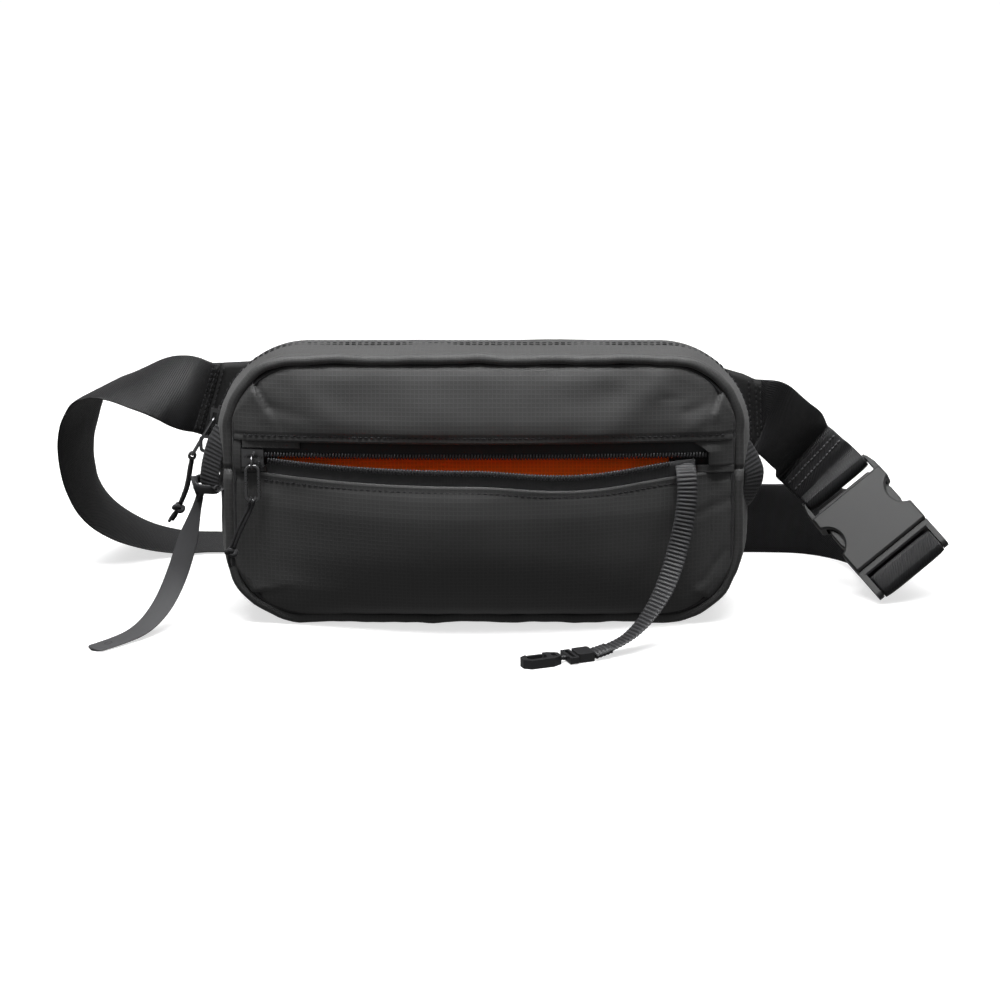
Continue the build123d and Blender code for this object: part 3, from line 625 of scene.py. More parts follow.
def make_strip():
    line = spline_points("strip_line", STRIP_ROUTE, 0.9)
    band = Ribbon(line, blend_vectors(STRIP_ACROSS, travelled(line)))
    parts = band.build(Parts(), 11.2, 1.3, end_round=3.6, cup=0.12, half_points=9, throat=(0.42, 26))
    strip = parts.make("grip_band", STRIP, "grey_strip", "grip_strip")
    centre = read_along(band.far[-1] - SLOT_FROM_TIP, band.far, band.line)
    along, over = band.tangent[-8], band.across[-8]
    face = np.cross(along, over)
    slot_line = [centre + along * SLOT_HALF * cos(t) + over * SLOT_HALF_WIDE * sin(t) + face * 0.62
                 for t in np.linspace(0, 2 * pi, 24, endpoint=False)]
    rim = tube_parts(Parts(), slot_line, 0.22, 6, closed=True).make("grip_slot_rim", STRIP, "grey_strip")
    metres([STRIP_ROUTE[0]])[0]
    metres(line)


def trefoil(centre, direction, size):
    """A closed knot's line, with its hole along a direction."""
    side = unit(np.cross(direction, (0, 1, 0.2)))
    up = np.cross(direction, side)
    t = np.linspace(0, 2 * pi, 64, endpoint=False)
    a = (np.sin(t) + 2 * np.sin(2 * t)) / 3 * size
    b = (np.cos(t) - 2 * np.cos(2 * t)) / 3 * size
    c = -np.sin(3 * t) * size * 0.42
    return centre + np.outer(a, side) + np.outer(b, up) + np.outer(c, direction)


def make_pull_cord(name, route, direction, tail_end, loop_axis, body):
    """A doubled cord from a zip puller: two strands, the loop round the puller, a knot and two tails."""
    line = spline_points(f"{name}_line", route, 0.7)
    direction = unit(direction)
    loop_axis = np.array(loop_axis)
    over = unit(np.cross(direction, (0, 1, 0)) * 0.6 + loop_axis * 0.8)
    parts = Parts()
    spread = (0.75 + 0.2 * np.sin(travelled(line) / travelled(line)[-1] * pi))[:, None]
    for side in (-1, 1):
        tube_parts(parts, line + over * side * spread, STRAND_RADIUS, 9, taper=0.5)
    top = line[0] + np.array((0, 0, 1.2))
    for shift in (-1.1, 1.1):
        ring = [top + loop_axis * shift + np.cross(loop_axis, direction) * 1.5 * cos(t)
                + direction * 1.5 * sin(t) for t in np.linspace(0, 2 * pi, 20, endpoint=False)]
        tube_parts(parts, ring, LOOP_RADIUS, 8, closed=True)
    parts.make(f"{name}_strands", CORD, "pull_cord", f"{name}_cord", body)
    centre = np.array(route[-1]) + direction * 1.7
    knot = tube_parts(Parts(), trefoil(centre, direction, 2.4), KNOT_RADIUS, 9, closed=True)
    start = centre + direction * 1.6
    for side, reach in ((-1, 1.0), (1, 0.86)):
        end = start + (np.array(tail_end) - start) * reach + over * side * 0.85
        bow = (start + end) / 2 + over * side * 0.8
        tube_parts(knot, catmull([start + over * side * 0.4, bow, end], 10), TAIL_RADIUS, 9, taper=0.5)
    knot.make(f"{name}_tied_end", CORD, "pull_cord", f"{name}_knot", body)


make_leash()
make_strip()
make_pull_cord("main_pull", MAIN_CORD_ROUTE, (-2.6, 0, -5.6), (-158.0, -2.2, 45.0), (0, 1, 0), "main_puller")
make_pull_cord("front_pull", FRONT_CORD_ROUTE, (-1.7, -0.1, -5.4), (-124.0, -36.6, 31.5), (1, 0, 0),
               "front_puller")


# ---------------------------------------------------------------- the shell's shape
FRONT_Y, BACK_Y = -28.0, 28.0
# Depth, half width, bottom, top and corner radius of the bag.
STATIONS = np.array([
    (FRONT_Y, 127.0, 1.5, 137.0, 38.0),
    (-14.0, 131.0, 0.0, 138.3, 43.0),
    (0.0, 132.0, 0.0, 138.3, 45.0),
    (14.0, 131.0, 0.0, 135.4, 44.0),
    (BACK_Y, 127.0, 1.5, 130.0, 42.0),
])
FRONT_HALF, FRONT_LOW, FRONT_HIGH, FRONT_RADIUS = STATIONS[0, 1:]
SEAM = 3.4                    # how far inside the outline the front panels are sewn
ZIP_SLOT = 5.4                # half of the gap in the top that the main zip fills
ZIP_END_Z = 80.0              # where the top band is sewn to the bottom and sides
ROLL_Y = -25.5                # the front edge rolls over from here
FRONT_ROLL = [(-25.5, -0.2), (-27.3, -0.75), (-29.0, -0.95), (-30.6, -0.4), (-31.5, 0.6), (-31.8, 1.9),
              (-31.4, 3.0), (-30.3, 3.8), (-28.0, 4.0)]
# Seams round the shell: depth, height of the gathers, their reach and their pitch.
GATHERS = [(-29.5, 1.5, 4.5, 21.0), (-6.0, 0.5, 4.0, 9.0), (6.0, 0.5, 4.0, 9.0), (28.0, 0.7, 5.0, 15.0)]
SHELL_THICK, PANEL_THICK = 1.4, 1.3


def station(y):
    """Half width, bottom, top and corner radius of the bag at a depth."""
    y = min(max(y, FRONT_Y), BACK_Y)
    values = np.zeros(4)
    for i, row in enumerate(STATIONS):
        weight = 1.0
        for j, other in enumerate(STATIONS):
            if j != i:
                weight *= (y - other[0]) / (row[0] - other[0])
        values += weight * row[1:]
    values[1] = max(values[1], 0.15)
    return values


def tour(y, inset, upper):
    """Points (x, z) and outward directions round the upper or lower part of the outline."""
    half, low, high, radius = station(y)
    half, low, high, radius = half - inset, low + inset, high - inset, max(radius - inset, 1)
    sign = 1 if upper else -1
    end = high if upper else low
    corner = end - sign * radius

    def turn(centre, start):
        angles = [radians(angle) for angle in np.linspace(start, start - 90, 22, endpoint=False)]
        return [(centre + radius * cos(a), corner + radius * (sin(a) * sign), cos(a), sin(a) * sign)
                for a in angles]

    stops = [(-half, z, -1, 0) for z in np.linspace(ZIP_END_Z, corner, 6, endpoint=False)]
    stops += turn(-half + radius, 180)
    stops += [(x, end, 0, sign) for x in np.linspace(-half + radius, half - radius, 64, endpoint=False)]
    stops += turn(half - radius, 90)
    stops += [(half, z, 1, 0) for z in np.linspace(corner, ZIP_END_Z, 7)]
    stops = np.array(stops, float)
    return stops[:, :2], stops[:, 2:]


def at_depth(line, y):
    """Puts (x, z) points or directions in space, at a depth."""
    return np.column_stack([line[:, 0], np.broadcast_to(y, len(line)), line[:, 1]])


def shell_grid(levels, upper):
    """A band of the shell through (y, inset) levels, with cloth lengths."""
    middle, _ = tour(0.0, 0.0, upper)
    along = travelled(middle)
    rows, outs, lengths = [], [], []
    far = 0.0
    for i, (y, inset) in enumerate(levels):
        line, out = tour(y, inset, upper)
        proud = np.where(out[:, 1] > 0, 0.5 + 0.5 * out[:, 1], 0.5 - 0.2 * out[:, 1])
        depth = y if y > ROLL_Y else ROLL_Y + (y - ROLL_Y) * proud
        if i:
            far += sqrt((y - levels[i - 1][0]) ** 2 + (inset - levels[i - 1][1]) ** 2)
        rows.append(at_depth(line, depth))
        outs.append(at_depth(out, 0.0))
        lengths.append(np.column_stack([along, np.full(len(line), far)]))
    return np.array(rows), np.array(outs), np.array(lengths)


def pucker(points, outs, lengths):
    """Small gathers beside the seams, fading away from them."""
    along, depth = lengths[..., 0], points[..., 1]
    moved = points.copy()
    for seam, amount, reach, pitch in GATHERS:
        fade = np.exp(-np.abs(depth - seam) / reach)
        broad = wrinkle(along, depth * 0.25, pitch, seam)
        fine = wrinkle(along, depth * 0.3, pitch * 0.45, seam + 3)
        moved += outs * ((broad * 0.9 + fine * 0.5) * fade * amount)[..., None]
    return moved


def make_shell():
    front = [(y, 0.0) for y in np.linspace(-5.5, -24.0, 15)] + FRONT_ROLL
    back = [(y, 0.0) for y in np.linspace(5.5, 27.9, 16)]
    whole = [(y, 0.0) for y in np.linspace(27.9, -24.0, 30)] + FRONT_ROLL
    for name, levels, upper, sign, node in (
            ("top_front_cloth", front, True, -1.0, "gusset_upper_front"),
            ("top_back_cloth", back, True, 1.0, "gusset_upper_back"),
            ("bottom_and_sides_cloth", whole, False, 1.0, "gusset_lower")):
        points, outs, lengths = shell_grid(levels, upper)
        if upper:
            dip = np.exp(-((np.abs(points[..., 1]) - ZIP_SLOT) / 1.1).clip(0))
            points = points - outs * (0.9 * dip)[..., None]
        slack = ruffle(points, 34.0, 4) * 1.1 * np.clip(1 - np.abs(points[..., 1] / 30) ** 4, 0, 1)
        points = pucker(points + outs * slack[..., None], outs, lengths)
        if levels is back:
            points -= outs * (0.9 * ramp(16 - points[..., 1], 8))[..., None]
        points[..., 2] = np.maximum(points[..., 2], 0.12)
        cloth(name, points, SHELL_THICK, SHELL, "shell_fabric", sign, node, lengths)


def top_line(y, inset, start=ZIP_END_Z, outline_y=None):
    """A line over the top at a depth, from the height start up, and the way the cloth faces along it.
    It follows the outline of another depth when outline_y is given."""
    line, out = tour(y if outline_y is None else outline_y, inset, True)
    keep = line[:, 1] >= start
    return at_depth(line, y)[keep], at_depth(out, 0.0)[keep]


def closed_outline(y, inset):
    over, _ = tour(y, inset, True)
    under, _ = tour(y, inset, False)
    return at_depth(np.concatenate([over, under[::-1][1:-1]]), y)


def make_piping():
    # A dark cord in the seam between the front roll and the panels: partly the seam's binding, partly painted
    # shade that makes the groove there black.
    cord = tube_parts(Parts(), closed_outline(-28.9, 4.9), 0.95, 8, closed=True)
    cord.make("front_seam_cord_painted_shade", BINDING, "binding", "piping_front")
    line = closed_outline(29.0, 0.1)
    line[:, 1:] += np.stack([ruffle(line, 12, 6), ruffle(line, 14, 7)], -1) * 0.2
    tape = tube_parts(Parts(), line, 1.35, 10, closed=True)
    tape.make("back_seam_binding", BINDING, "binding", "piping_back")


def stacked(rows):
    """A sheet's points and cloth lengths, from its rows: a line, and how far across the cloth it is."""
    lengths = [np.column_stack([travelled(line), np.full(len(line), across)]) for line, across in rows]
    return np.array([line for line, _ in rows]), np.array(lengths)


# The main zip's tape: how far each level is from the zip's middle, and how deep inside the outline.
TAPE_LEVELS = [(0.22, 0.55), (1.6, 0.6), (3.9, 1.0), (6.2, 1.35)]
# Depth and inset of the stitches beside the main zip.
ZIP_STITCHES = [(-8.2, -0.2), (-11.2, -0.2), (8.2, 1.0), (11.2, 0.7)]


def make_main_zip():
    for side, sign in (("front", -1), ("back", 1)):
        points, lengths = stacked([(top_line(sign * off, inset, outline_y=0.0)[0], off)
                                   for off, inset in TAPE_LEVELS])
        cloth(f"main_zip_tape_{side}", points, 0.8, SHELL, "zip_tape", float(sign),
              f"main_tape_{side}", lengths)
        line, out = top_line(sign * 1.15, 2.4, 82.6, outline_y=0.0)
        coil = coil_parts(Parts(), line, out, (0, -sign, 0), 2.0)
        coil.make(f"main_zip_coil_{side}", COIL, "zip_coil", f"main_coil_{side}")


def make_main_zip_ends():
    """The tabs of cloth over the main zip's two ends."""
    parts = Parts()
    ys = np.linspace(-5.6, 5.6, 9)
    for side in (-1, 1):
        rows, lengths = [], []
        for z in np.linspace(78.5, 83.2, 6):
            swell = 0.35 * np.cos(ys / 5.6 * pi / 2) * sin((z - 78.5) / 4.7 * pi)
            rows.append(np.column_stack([side * (131.9 + swell), ys, np.full(9, z)]))
            lengths.append(np.column_stack([ys, np.full(9, z)]))
        sheet_parts(parts, np.array(rows), np.array(lengths), 1.6, -float(side))
    parts.make("main_zip_end_tabs", SHELL, "shell_fabric", "main_zip_ends")


# ---------------------------------------------------------------- front panels and pocket
# How full each panel is, from its seam (0) to its edge at the pocket zip (1).
LOWER_PROFILE = {0.0: 0.0, 0.06: 0.26, 0.18: 0.52, 0.4: 0.8, 0.7: 0.96, 1.0: 1.0}
UPPER_PROFILE = {0.0: 0.0, 0.12: 0.27, 0.35: 0.6, 0.7: 1.05, 0.88: 1.22, 1.0: 1.22}
LOWER_TOP_Z, UPPER_LOW_Z = 79.0, 95.5
LOWER_HALF, UPPER_HALF = 123.5, 123.3
HEM = 3.4                     # the stitches and fold of the lip are this far below its edge
UPPER_SEWN_Z = 98.6           # the upper panel's stitches
PANEL_PROUD = 1.6             # both panels stand this far in front of the seam
GAPE, GAPE_HALF = 28.0, 112.0
ZIP_CURVE = 1100.0            # radius of the pocket zip's line, seen from above
BULGE_HALF = 115              # the front stays full this far from its middle
# Folds: start, end, depth, width and, for a sewn dart, the step across it.
UPPER_FOLDS = [((115.3, 119.3), (112.4, 110.8), 2.2, 1.1, -1.9),
               ((-111, 122), (-105.2, 111.8), 2.2, 1.1, 1.9),
               ((84, 124), (56, 97), -2.0, 8.0), ((60, 118), (20, 112), 0.7, 6.0),
               ((88, 117), (97, 117), 0.5, 2.0), ((99, 110.5), (109, 114), 0.6, 2.2),
               ((-88, 121), (-70, 104), -0.9, 6.0), ((-104, 112), (-88, 108), 0.6, 3.0),
               ((112, 110), (98, 101), -1.0, 3.5)]
LOWER_FOLDS = [((-118, 14.4), (-107.5, 17.9), 2.0, 1.1, -1.6), ((113.5, 10), (108.2, 15), 2.0, 1.1, 1.6),
               ((108, 23), (119, 39), 1.0, 2.2), ((102, 57.5), (122, 65), 1.0, 2.6),
               ((-108, 68), (-105, 22), -1.6, 7.0), ((101, 58), (99, 18), -1.3, 8.0),
               ((-98, 22), (-60, 17), -0.8, 6.0), ((106, 18), (112, 30), -0.8, 3.0)]


def gape(x):
    """How far the open pocket's lip stands out."""
    return GAPE * max(0.0, 1 - (abs(x) / GAPE_HALF) ** 2.2)


def lip_drop(x):
    return 3.0 * max(0.0, 1 - ((x - 45) / 50) ** 2) ** 2


def zip_line(x):
    return -37.0 + ZIP_CURVE - sqrt(ZIP_CURVE**2 - x**2)


def seam_bottom(x):
    half, low, radius = FRONT_HALF - SEAM, FRONT_LOW + SEAM, FRONT_RADIUS - SEAM
    over = max(0.0, abs(x) - (half - radius))
    return low + radius - sqrt(max(0.0, radius**2 - over**2))


def seam_top(x):
    return FRONT_LOW + FRONT_HIGH - seam_bottom(x)


def upper_bulge(x):
    if abs(x) <= BULGE_HALF:
        return FRONT_Y - zip_line(x)
    return (FRONT_Y - zip_line(BULGE_HALF)) * max(0.0, (124.2 - abs(x)) / 9.2)


def fold(x, z, start, end, depth, width, step=0.0):
    """How far a fold draws the cloth in at (x, z). step lifts the cloth on one side, as a sewn dart does."""
    a, b = np.array(start, float), np.array(end, float)
    run = b - a
    inside = np.clip(((x - a[0]) * run[0] + (z - a[1]) * run[1]) / (run @ run), 0, 1)
    gap = np.sqrt((x - a[0] - inside * run[0]) ** 2 + (z - a[1] - inside * run[1]) ** 2)
    side = ((x - a[0]) * run[1] - (z - a[1]) * run[0]) / sqrt(run @ run)
    fade = 1 - 0.6 * inside
    return depth * fade * bell(gap, width) - step * fade * np.exp(-gap / 6.0) * np.tanh(side / 0.6)


def lower_place(x, share):
    """A point of the pocket's front wall, from its seam (share 0) to its lip (1)."""
    low, high = seam_bottom(x), LOWER_TOP_Z - lip_drop(x)
    y = FRONT_Y - PANEL_PROUD - gape(x) * smooth_table(LOWER_PROFILE, share)
    return x, y, low + (high - low) * share


def upper_place(x, share):
    """A point of the panel above the pocket zip, from its seam (share 0) down to the zip (1)."""
    low, high = UPPER_LOW_Z, seam_top(x)
    y = FRONT_Y - PANEL_PROUD - upper_bulge(x) * smooth_table(UPPER_PROFILE, share)
    return x, y, high + (low - high) * share


def panel_points(half_x, rows, place, seam_height):
    """A front panel's outer face, its x and z, and how far each point is from the seam."""
    xs = half_x * np.sin(np.linspace(-1, 1, 150) * pi / 2 * 0.995)
    shares = np.linspace(0, 1, rows) ** 1.25
    points = sheet_points(xs, shares, place)
    seam = np.array([seam_height(x) for x in xs])
    gap = np.minimum(np.abs(points[..., 2] - seam[None, :]), FRONT_HALF - SEAM - np.abs(points[..., 0]))
    points[..., 1] += 1.7 * near(gap, 1.5)
    return points, points[..., 0].copy(), points[..., 2].copy(), gap


def make_lower_panel():
    points, x, z, gap = panel_points(LOWER_HALF, 62, lower_place, seam_bottom)
    below = LOWER_TOP_Z - z
    creases = wrinkle(x, z * 0.45, 46, 1) * 2.0 + wrinkle(x * 0.5, z, 25, 2) * 0.7
    tension = wrinkle(x, z * 0.12, 11, 9) * 0.9 * near(gap, 7)
    points[..., 1] += (creases * ramp(gap, 14) + tension) * ramp(below, 8)
    points[..., 1] -= 1.6 * (1 - near(gap, 7.0)) * ramp(below, 16)
    for crease in LOWER_FOLDS:
        points[..., 1] += fold(x, z, *crease) * ramp(below - 2, 8)
    points[..., 1] += bell(below - np.vectorize(lip_drop)(x) - HEM, 0.9) * 0.5
    panel = cloth("front_panel_lower_cloth", points, PANEL_THICK, SHELL, "shell_fabric", 1.0,
                  "front_panel_lower")
    line = np.array([lower_place(x, 1.0) for x in np.linspace(-108, 104, 120)]) + np.array((0, 0.1, -HEM))
    return panel, sew("lip_stitches", "binding", [(line, (0, -1, 0))])


def make_lip():
    """The lining on the pocket's front wall, and the zip tape and coil along its lip."""
    rows = sheet_points(np.linspace(-101, 99, 60), np.linspace(0.16, 1.0, 20), lower_place)
    rows[..., 1] += 2.1
    rows[..., 1] += ruffle(rows, 22, 12) * 0.25
    inside = cloth("front_pocket_lining", rows, 0.6, LINING, "lining", 1.0, "pocket_lining")
    rows = sheet_points(np.linspace(-106, 103.5, 96), np.linspace(0, 1, 5), lambda x, share: (
        x, FRONT_Y - gape(x) - 0.7 + 0.3 * sin(share * pi), LOWER_TOP_Z - 1.5 - lip_drop(x) + share * 8.8))
    tape = cloth("lip_zip_tape", rows, 0.8, TAPE, "zip_tape", 1.0, "front_tape_lower")
    line = np.array([(x, FRONT_Y - gape(x) - 1.2, 85.6 - lip_drop(x)) for x in np.linspace(-106, 91, 90)])
    coil = coil_parts(Parts(), line, (0, -1, 0), (0, 0, 1), 2.1)
    return inside, tape, coil.make("lip_zip_coil", COIL, "zip_coil", "front_coil_lower")


def make_upper_panel():
    points, x, z, gap = panel_points(UPPER_HALF, 46, upper_place, seam_top)
    creases = (wrinkle(x, z * 0.9, 33, 21) * 1.5
               + wrinkle(x * 0.6 + z, z, 15, 22) * 0.6 * np.clip(np.abs(x) / 110, 0.2, 1))
    tension = wrinkle(x, z * 0.12, 10, 23) * 0.9 * near(gap, 6)
    points[..., 1] += creases * ramp(gap, 8) * ramp(z - UPPER_LOW_Z, 5) + tension
    points[..., 1] -= 1.3 * (1 - near(gap, 6.0)) * ramp(z - 96, 10)
    for crease in UPPER_FOLDS:
        points[..., 1] += fold(x, z, *crease) * ramp(z - 96, 5)
    points[..., 1] += 0.5 * bell(z - UPPER_SEWN_Z, 0.9)
    cloth("front_panel_upper_cloth", points, PANEL_THICK, SHELL, "shell_fabric", -1.0, "front_panel_upper")
    line = np.array([(x, FRONT_Y - 1.65 - upper_bulge(x) * UPPER_PROFILE[1.0], UPPER_SEWN_Z)
                     for x in np.linspace(-118, 118, 120)])
    sew("upper_panel_stitches", "binding", [(line, (0, -1, 0))])


def make_pocket_wall():
    rows = sheet_points(np.linspace(-117, 117, 50), np.linspace(0, 1, 26), lambda x, share: (
        x, -27.6, seam_bottom(x) + 2.4 + share * (seam_top(x) - seam_bottom(x) - 4.8)))
    rows[..., 1] += ruffle(rows, 24, 31) * 0.35
    cloth("pocket_back_cloth", rows, 0.8, LINING, "lining", 1.0, "pocket_back_wall")


def make_front_zip():
    xs = np.linspace(-118, 109.5, 92)
    rows = sheet_points(xs, np.linspace(87.6, 96.6, 6), lambda x, z: (x, zip_line(x) + 0.1, z))
    cloth("upper_zip_tape", rows, 0.7, TAPE, "zip_tape", 1.0, "front_tape_upper")
    line = np.array([(x, zip_line(x) - 0.45, 88.4) for x in xs])
    coil = coil_parts(Parts(), line, (0, -1, 0), (0, 0, -1), 2.1)
    coil.make("upper_zip_coil", COIL, "zip_coil", "front_coil_upper")


def patch(parts, x_range, z_range, front, thickness):
    """A small piece of cloth that stands on the front, at a depth given by front(x, z)."""
    rows = sheet_points(np.linspace(*x_range, 10), np.linspace(*z_range, 8), lambda x, z: (x, front(x, z), z))
    return sheet_parts(parts, rows, upright(rows), thickness)


def right_end_rows():
    """The cloth at the pocket zip's right end: a folded corner that rises towards the zip."""
    rows = []
    for z in np.linspace(82.6, 96.2, 18):
        left = 110.3 - 7.6 * min(max((z - 89.7) / 5.2, 0), 1)
        steep = min(1, (96.2 - z) / 6.0) if z > 89.7 else (z - 82) / 8
        row = []
        for x in left + (123 - left) * np.linspace(0, 1, 16):
            rise = 1.7 * (max(0.0, 1 - abs(x - 110.3) / 9) * steep)
            y = zip_line(min(x, BULGE_HALF)) - 1.0 - rise + max(0, x - BULGE_HALF) * 0.3
            row.append((x, min(y, -28.6), z))
        rows.append(row)
    return np.array(rows)


def make_zip_ends():
    welt = patch(Parts(), (-118, -90), (91.9, 95.4), lambda x, z: zip_line(x) - 1.4 + 0.15 * sin(x), 0.8)
    welt.make("zip_welt", SHELL, "shell_fabric", "front_zip_welt")
    left = patch(Parts(), (-123.2, -118.9), (78.6, 96.2),
                 lambda x, z: -30.6 - 0.7 * sin((z - 79) / 17 * pi) + (-119 - x) * 0.35, 2.2)
    patch(left, (-119, -106.3), (79.2, 82.4), lambda x, z: -30.6, 1.2)
    left.make("zip_end_left", SHELL, "shell_fabric", "front_zip_end_left")
    rows = right_end_rows()
    right = sheet_parts(Parts(), rows, upright(rows), 1.2)
    patch(right, (104.2, 123), (78.8, 82.7), lambda x, z: -31.3 + max(0, x - BULGE_HALF) * 0.2, 1.4)
    right.make("zip_end_right", SHELL, "shell_fabric", "front_zip_end_right")
    tab = patch(Parts(), (93, 103), (76, 86.8), lambda x, z: -31.2 + 0.2 * cos(x * 2), 2.8)
    tab.make("leash_tab", BINDING, "binding", "leash_anchor")
    # Dark tape cloth behind the pocket zip's two ends: partly a facing over the lining, partly painted shade
    # that keeps the groove there black.
    facing = Parts()
    for x_range in ((-122.5, -101), (91, 122.5)):
        patch(facing, x_range, (78.0, 97.0), lambda x, z: -28.7, 0.6)
    facing.make("zip_end_facing_painted_shade", TAPE, "zip_tape")


make_shell()
make_piping()
make_main_zip()
make_main_zip_ends()
sew("main_zip_stitches", "binding", [top_line(y, inset) for y, inset in ZIP_STITCHES], 3.1, 2.2, 0.26)
for piece in (*make_lower_panel(), *make_lip()):
    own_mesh(piece)
make_upper_panel()
make_pocket_wall()
make_front_zip()
make_zip_ends()


# ---------------------------------------------------------------- inside and back
CHANNELS_X = (-62, 0, 62)     # the back pad is sewn through along these


def face_grid(y, inset, rows, columns):
    """A flat face with the back's outline, in rows from bottom to top, and each point's gap to its edge."""
    half, low, high, radius = station(BACK_Y)
    half, low, high, radius = half - inset, low + inset, high - inset, radius - inset

    def place(t, share):
        x = half * sin(t * pi / 2)
        over = max(0.0, abs(x) - (half - radius))
        bottom = low + radius - sqrt(max(0.0, radius**2 - over**2))
        top = low + high - bottom
        z = bottom + (top - bottom) * (0.5 - 0.5 * cos(share * pi))
        return x, y, z, min(z - bottom, top - z, half - abs(x))

    points = sheet_points(np.linspace(-1, 1, columns), np.linspace(0, 1, rows), place)
    return points[..., :3], points[..., 3]


def make_back():
    points, gap = face_grid(28.6, 0.4, 44, 80)
    dome = 1 - np.exp(-gap / 5.0)
    points[..., 1] += dome * 4.2 + ruffle(points, 30, 41) * 0.35 * dome
    pad = cloth("back_pad", points, 0.7, SHELL, "shell_fabric", -1.0, "back_panel")
    points, gap = face_grid(32.6, 9.3, 44, 90)
    channels = sum(bell(points[..., 0] - x, 2.2) for x in CHANNELS_X)
    points[..., 1] += (1 - np.exp(-gap / 3.0)) * 3.0 - channels * 1.5 * ramp(gap, 4)
    mesh_pad = cloth("back_mesh_pad", points, 0.7, MESH_CLOTH, "mesh_fabric", -1.0, "back_mesh")
    lines = [at_depth(np.array([(x, z) for z in np.linspace(14, 118, 60)]), 34.3) for x in CHANNELS_X]
    sew("back_stitches", "binding", [(line, (0, 1, 0)) for line in lines], 3.2, 2.3, 0.25)


def make_inside():
    points, _ = face_grid(12.4, 5.2, 16, 30)
    cloth("divider_cloth", points[:12], 0.8, LINING, "lining", -1.0, "divider")
    parts = Parts()
    depths = np.linspace(-23.5, 27.2, 12)
    for upper, some_depths in ((True, depths[depths < -7.2]), (True, depths[depths > 7.2]), (False, depths)):
        points, lengths = stacked([(at_depth(tour(y, 3.0, upper)[0], y), y) for y in some_depths])
        sheet_parts(parts, points, lengths, 0.5, 1.0 if upper else -1.0)
    parts.make("main_lining_cloth", LINING, "lining", "main_lining")


# ---------------------------------------------------------------- strap, wings, tabs
WEBBING, WEB_THICK = 38.0, 1.8
BUCKLE_ORIGIN = np.array((208.5, 16.7, 26.0))
BUCKLE_A = unit((0.57, -0.606, -0.554))                 # along the buckle
BUCKLE_N = np.array((-0.272, -0.775, 0.569))
BUCKLE_N = unit(BUCKLE_N - BUCKLE_A * np.dot(BUCKLE_N, BUCKLE_A))   # out of its face
BUCKLE_W = np.cross(BUCKLE_N, BUCKLE_A)                 # across it
BAR_A, MALE_BAR_A = -47.6, 14.5                         # where its two bars are
BAR_WRAP = 3.5                                          # the webbing's radius round a bar
LEFT_WING = [(-108, 121), (-137.3, 119.6), (-148.6, 83.6), (-116, 76)]
RIGHT_WING = [(108, 120), (119, 117.5), (131, 114), (140.5, 109.8), (142.2, 74), (116, 71)]
# Each station of the webbing: a point on its middle line, and the direction of its width.
STRAP_LEFT = [
    ((-136.5, 29.5, 99.7), (-0.31, 0, -0.95)), ((-143.5, 29.5, 101.8), (-0.31, 0, -0.95)),
    ((-150, 30.5, 103.5), (-0.28, -0.25, -0.93)), ((-157, 33, 105.5), (-0.25, -0.55, -0.8)),
    ((-165, 36.5, 106.5), (-0.2, -0.75, -0.63)), ((-174, 41, 106), (-0.14, -0.9, -0.42)),
    ((-185, 46.5, 104.5), (-0.05, -0.99, -0.13)), ((-195, 52, 101.5), (-0.08, -1, 0.05)),
    ((-203, 58, 96), (-0.22, -0.96, 0.14)), ((-208.5, 63, 87), (-0.34, -0.93, 0.13)),
    ((-212, 68, 75), (-0.36, -0.92, 0.15)), ((-213.7, 72, 62), (-0.32, -0.94, 0.17)),
    ((-213, 76, 48.5), (-0.3, -0.94, 0.16)), ((-209.5, 80, 36), (-0.3, -0.95, 0.12)),
    ((-202.5, 85.5, 25), (-0.27, -0.96, 0.07)), ((-192, 92, 15.5), (-0.22, -0.97, 0.04)),
    ((-178, 99, 7.5), (-0.14, -0.99, 0.02)), ((-163, 105, 2.8), (-0.07, -1, 0)),
    ((-146, 108.5, 1.4), (0, -1, 0)), ((-122, 109, 1.2), (0, -1, 0)),
]
# Behind the bag it turns from flat to upright on its far edge: x, and the angle from the floor.
STRAP_RISE = [(-90, 4), (-55, 16), (-20, 33), (15, 52), (50, 70), (85, 83), (115, 88)]
STRAP_RIGHT = [
    ((150, 90.5, 19.9), (0, 0, -1)), ((172, 88, 20.0), (-0.08, -0.05, -1)),
    ((189, 78, 20.2), (-0.25, -0.1, -0.96)), ((201, 62, 20.8), (-0.45, -0.14, -0.88)),
    ((208, 45, 22.0), (-0.65, -0.17, -0.74)), ((212.5, 31, 22.6), -BUCKLE_W),
]
SHORT_STRAP = [
    ((133.5, 29.5, 92.3), (-0.05, 0, 1)), ((141.7, 29.5, 91.9), (-0.05, 0, 1)),
    ((144.4, 29.6, 91.5), (-0.02, 0.02, 1)), ((148.5, 31.3, 88.6), (0.1, 0.08, 0.98)),
    ((153, 34.8, 84), (0.27, 0.12, 0.95)), ((157.5, 39.8, 79), (0.42, 0.15, 0.88)),
    ((162, 46, 74), (0.58, 0.2, 0.77)),
]
SEWN_DIRECTION = unit((-0.72, 0.35, 0.6))               # the doubled, sewn end of the short strap
SEWN_LENGTH = 17.0


def buckle_point(a, n):
    return BUCKLE_ORIGIN + BUCKLE_A * a + BUCKLE_N * n


def webbing_parts(stations, steps):
    """Webbing through (point on its middle line, direction of its width) stations."""
    band = Ribbon(catmull([c for c, _ in stations], steps), catmull([a for _, a in stations], steps))
    return band, band.build(Parts(), WEBBING, WEB_THICK, half_points=11)


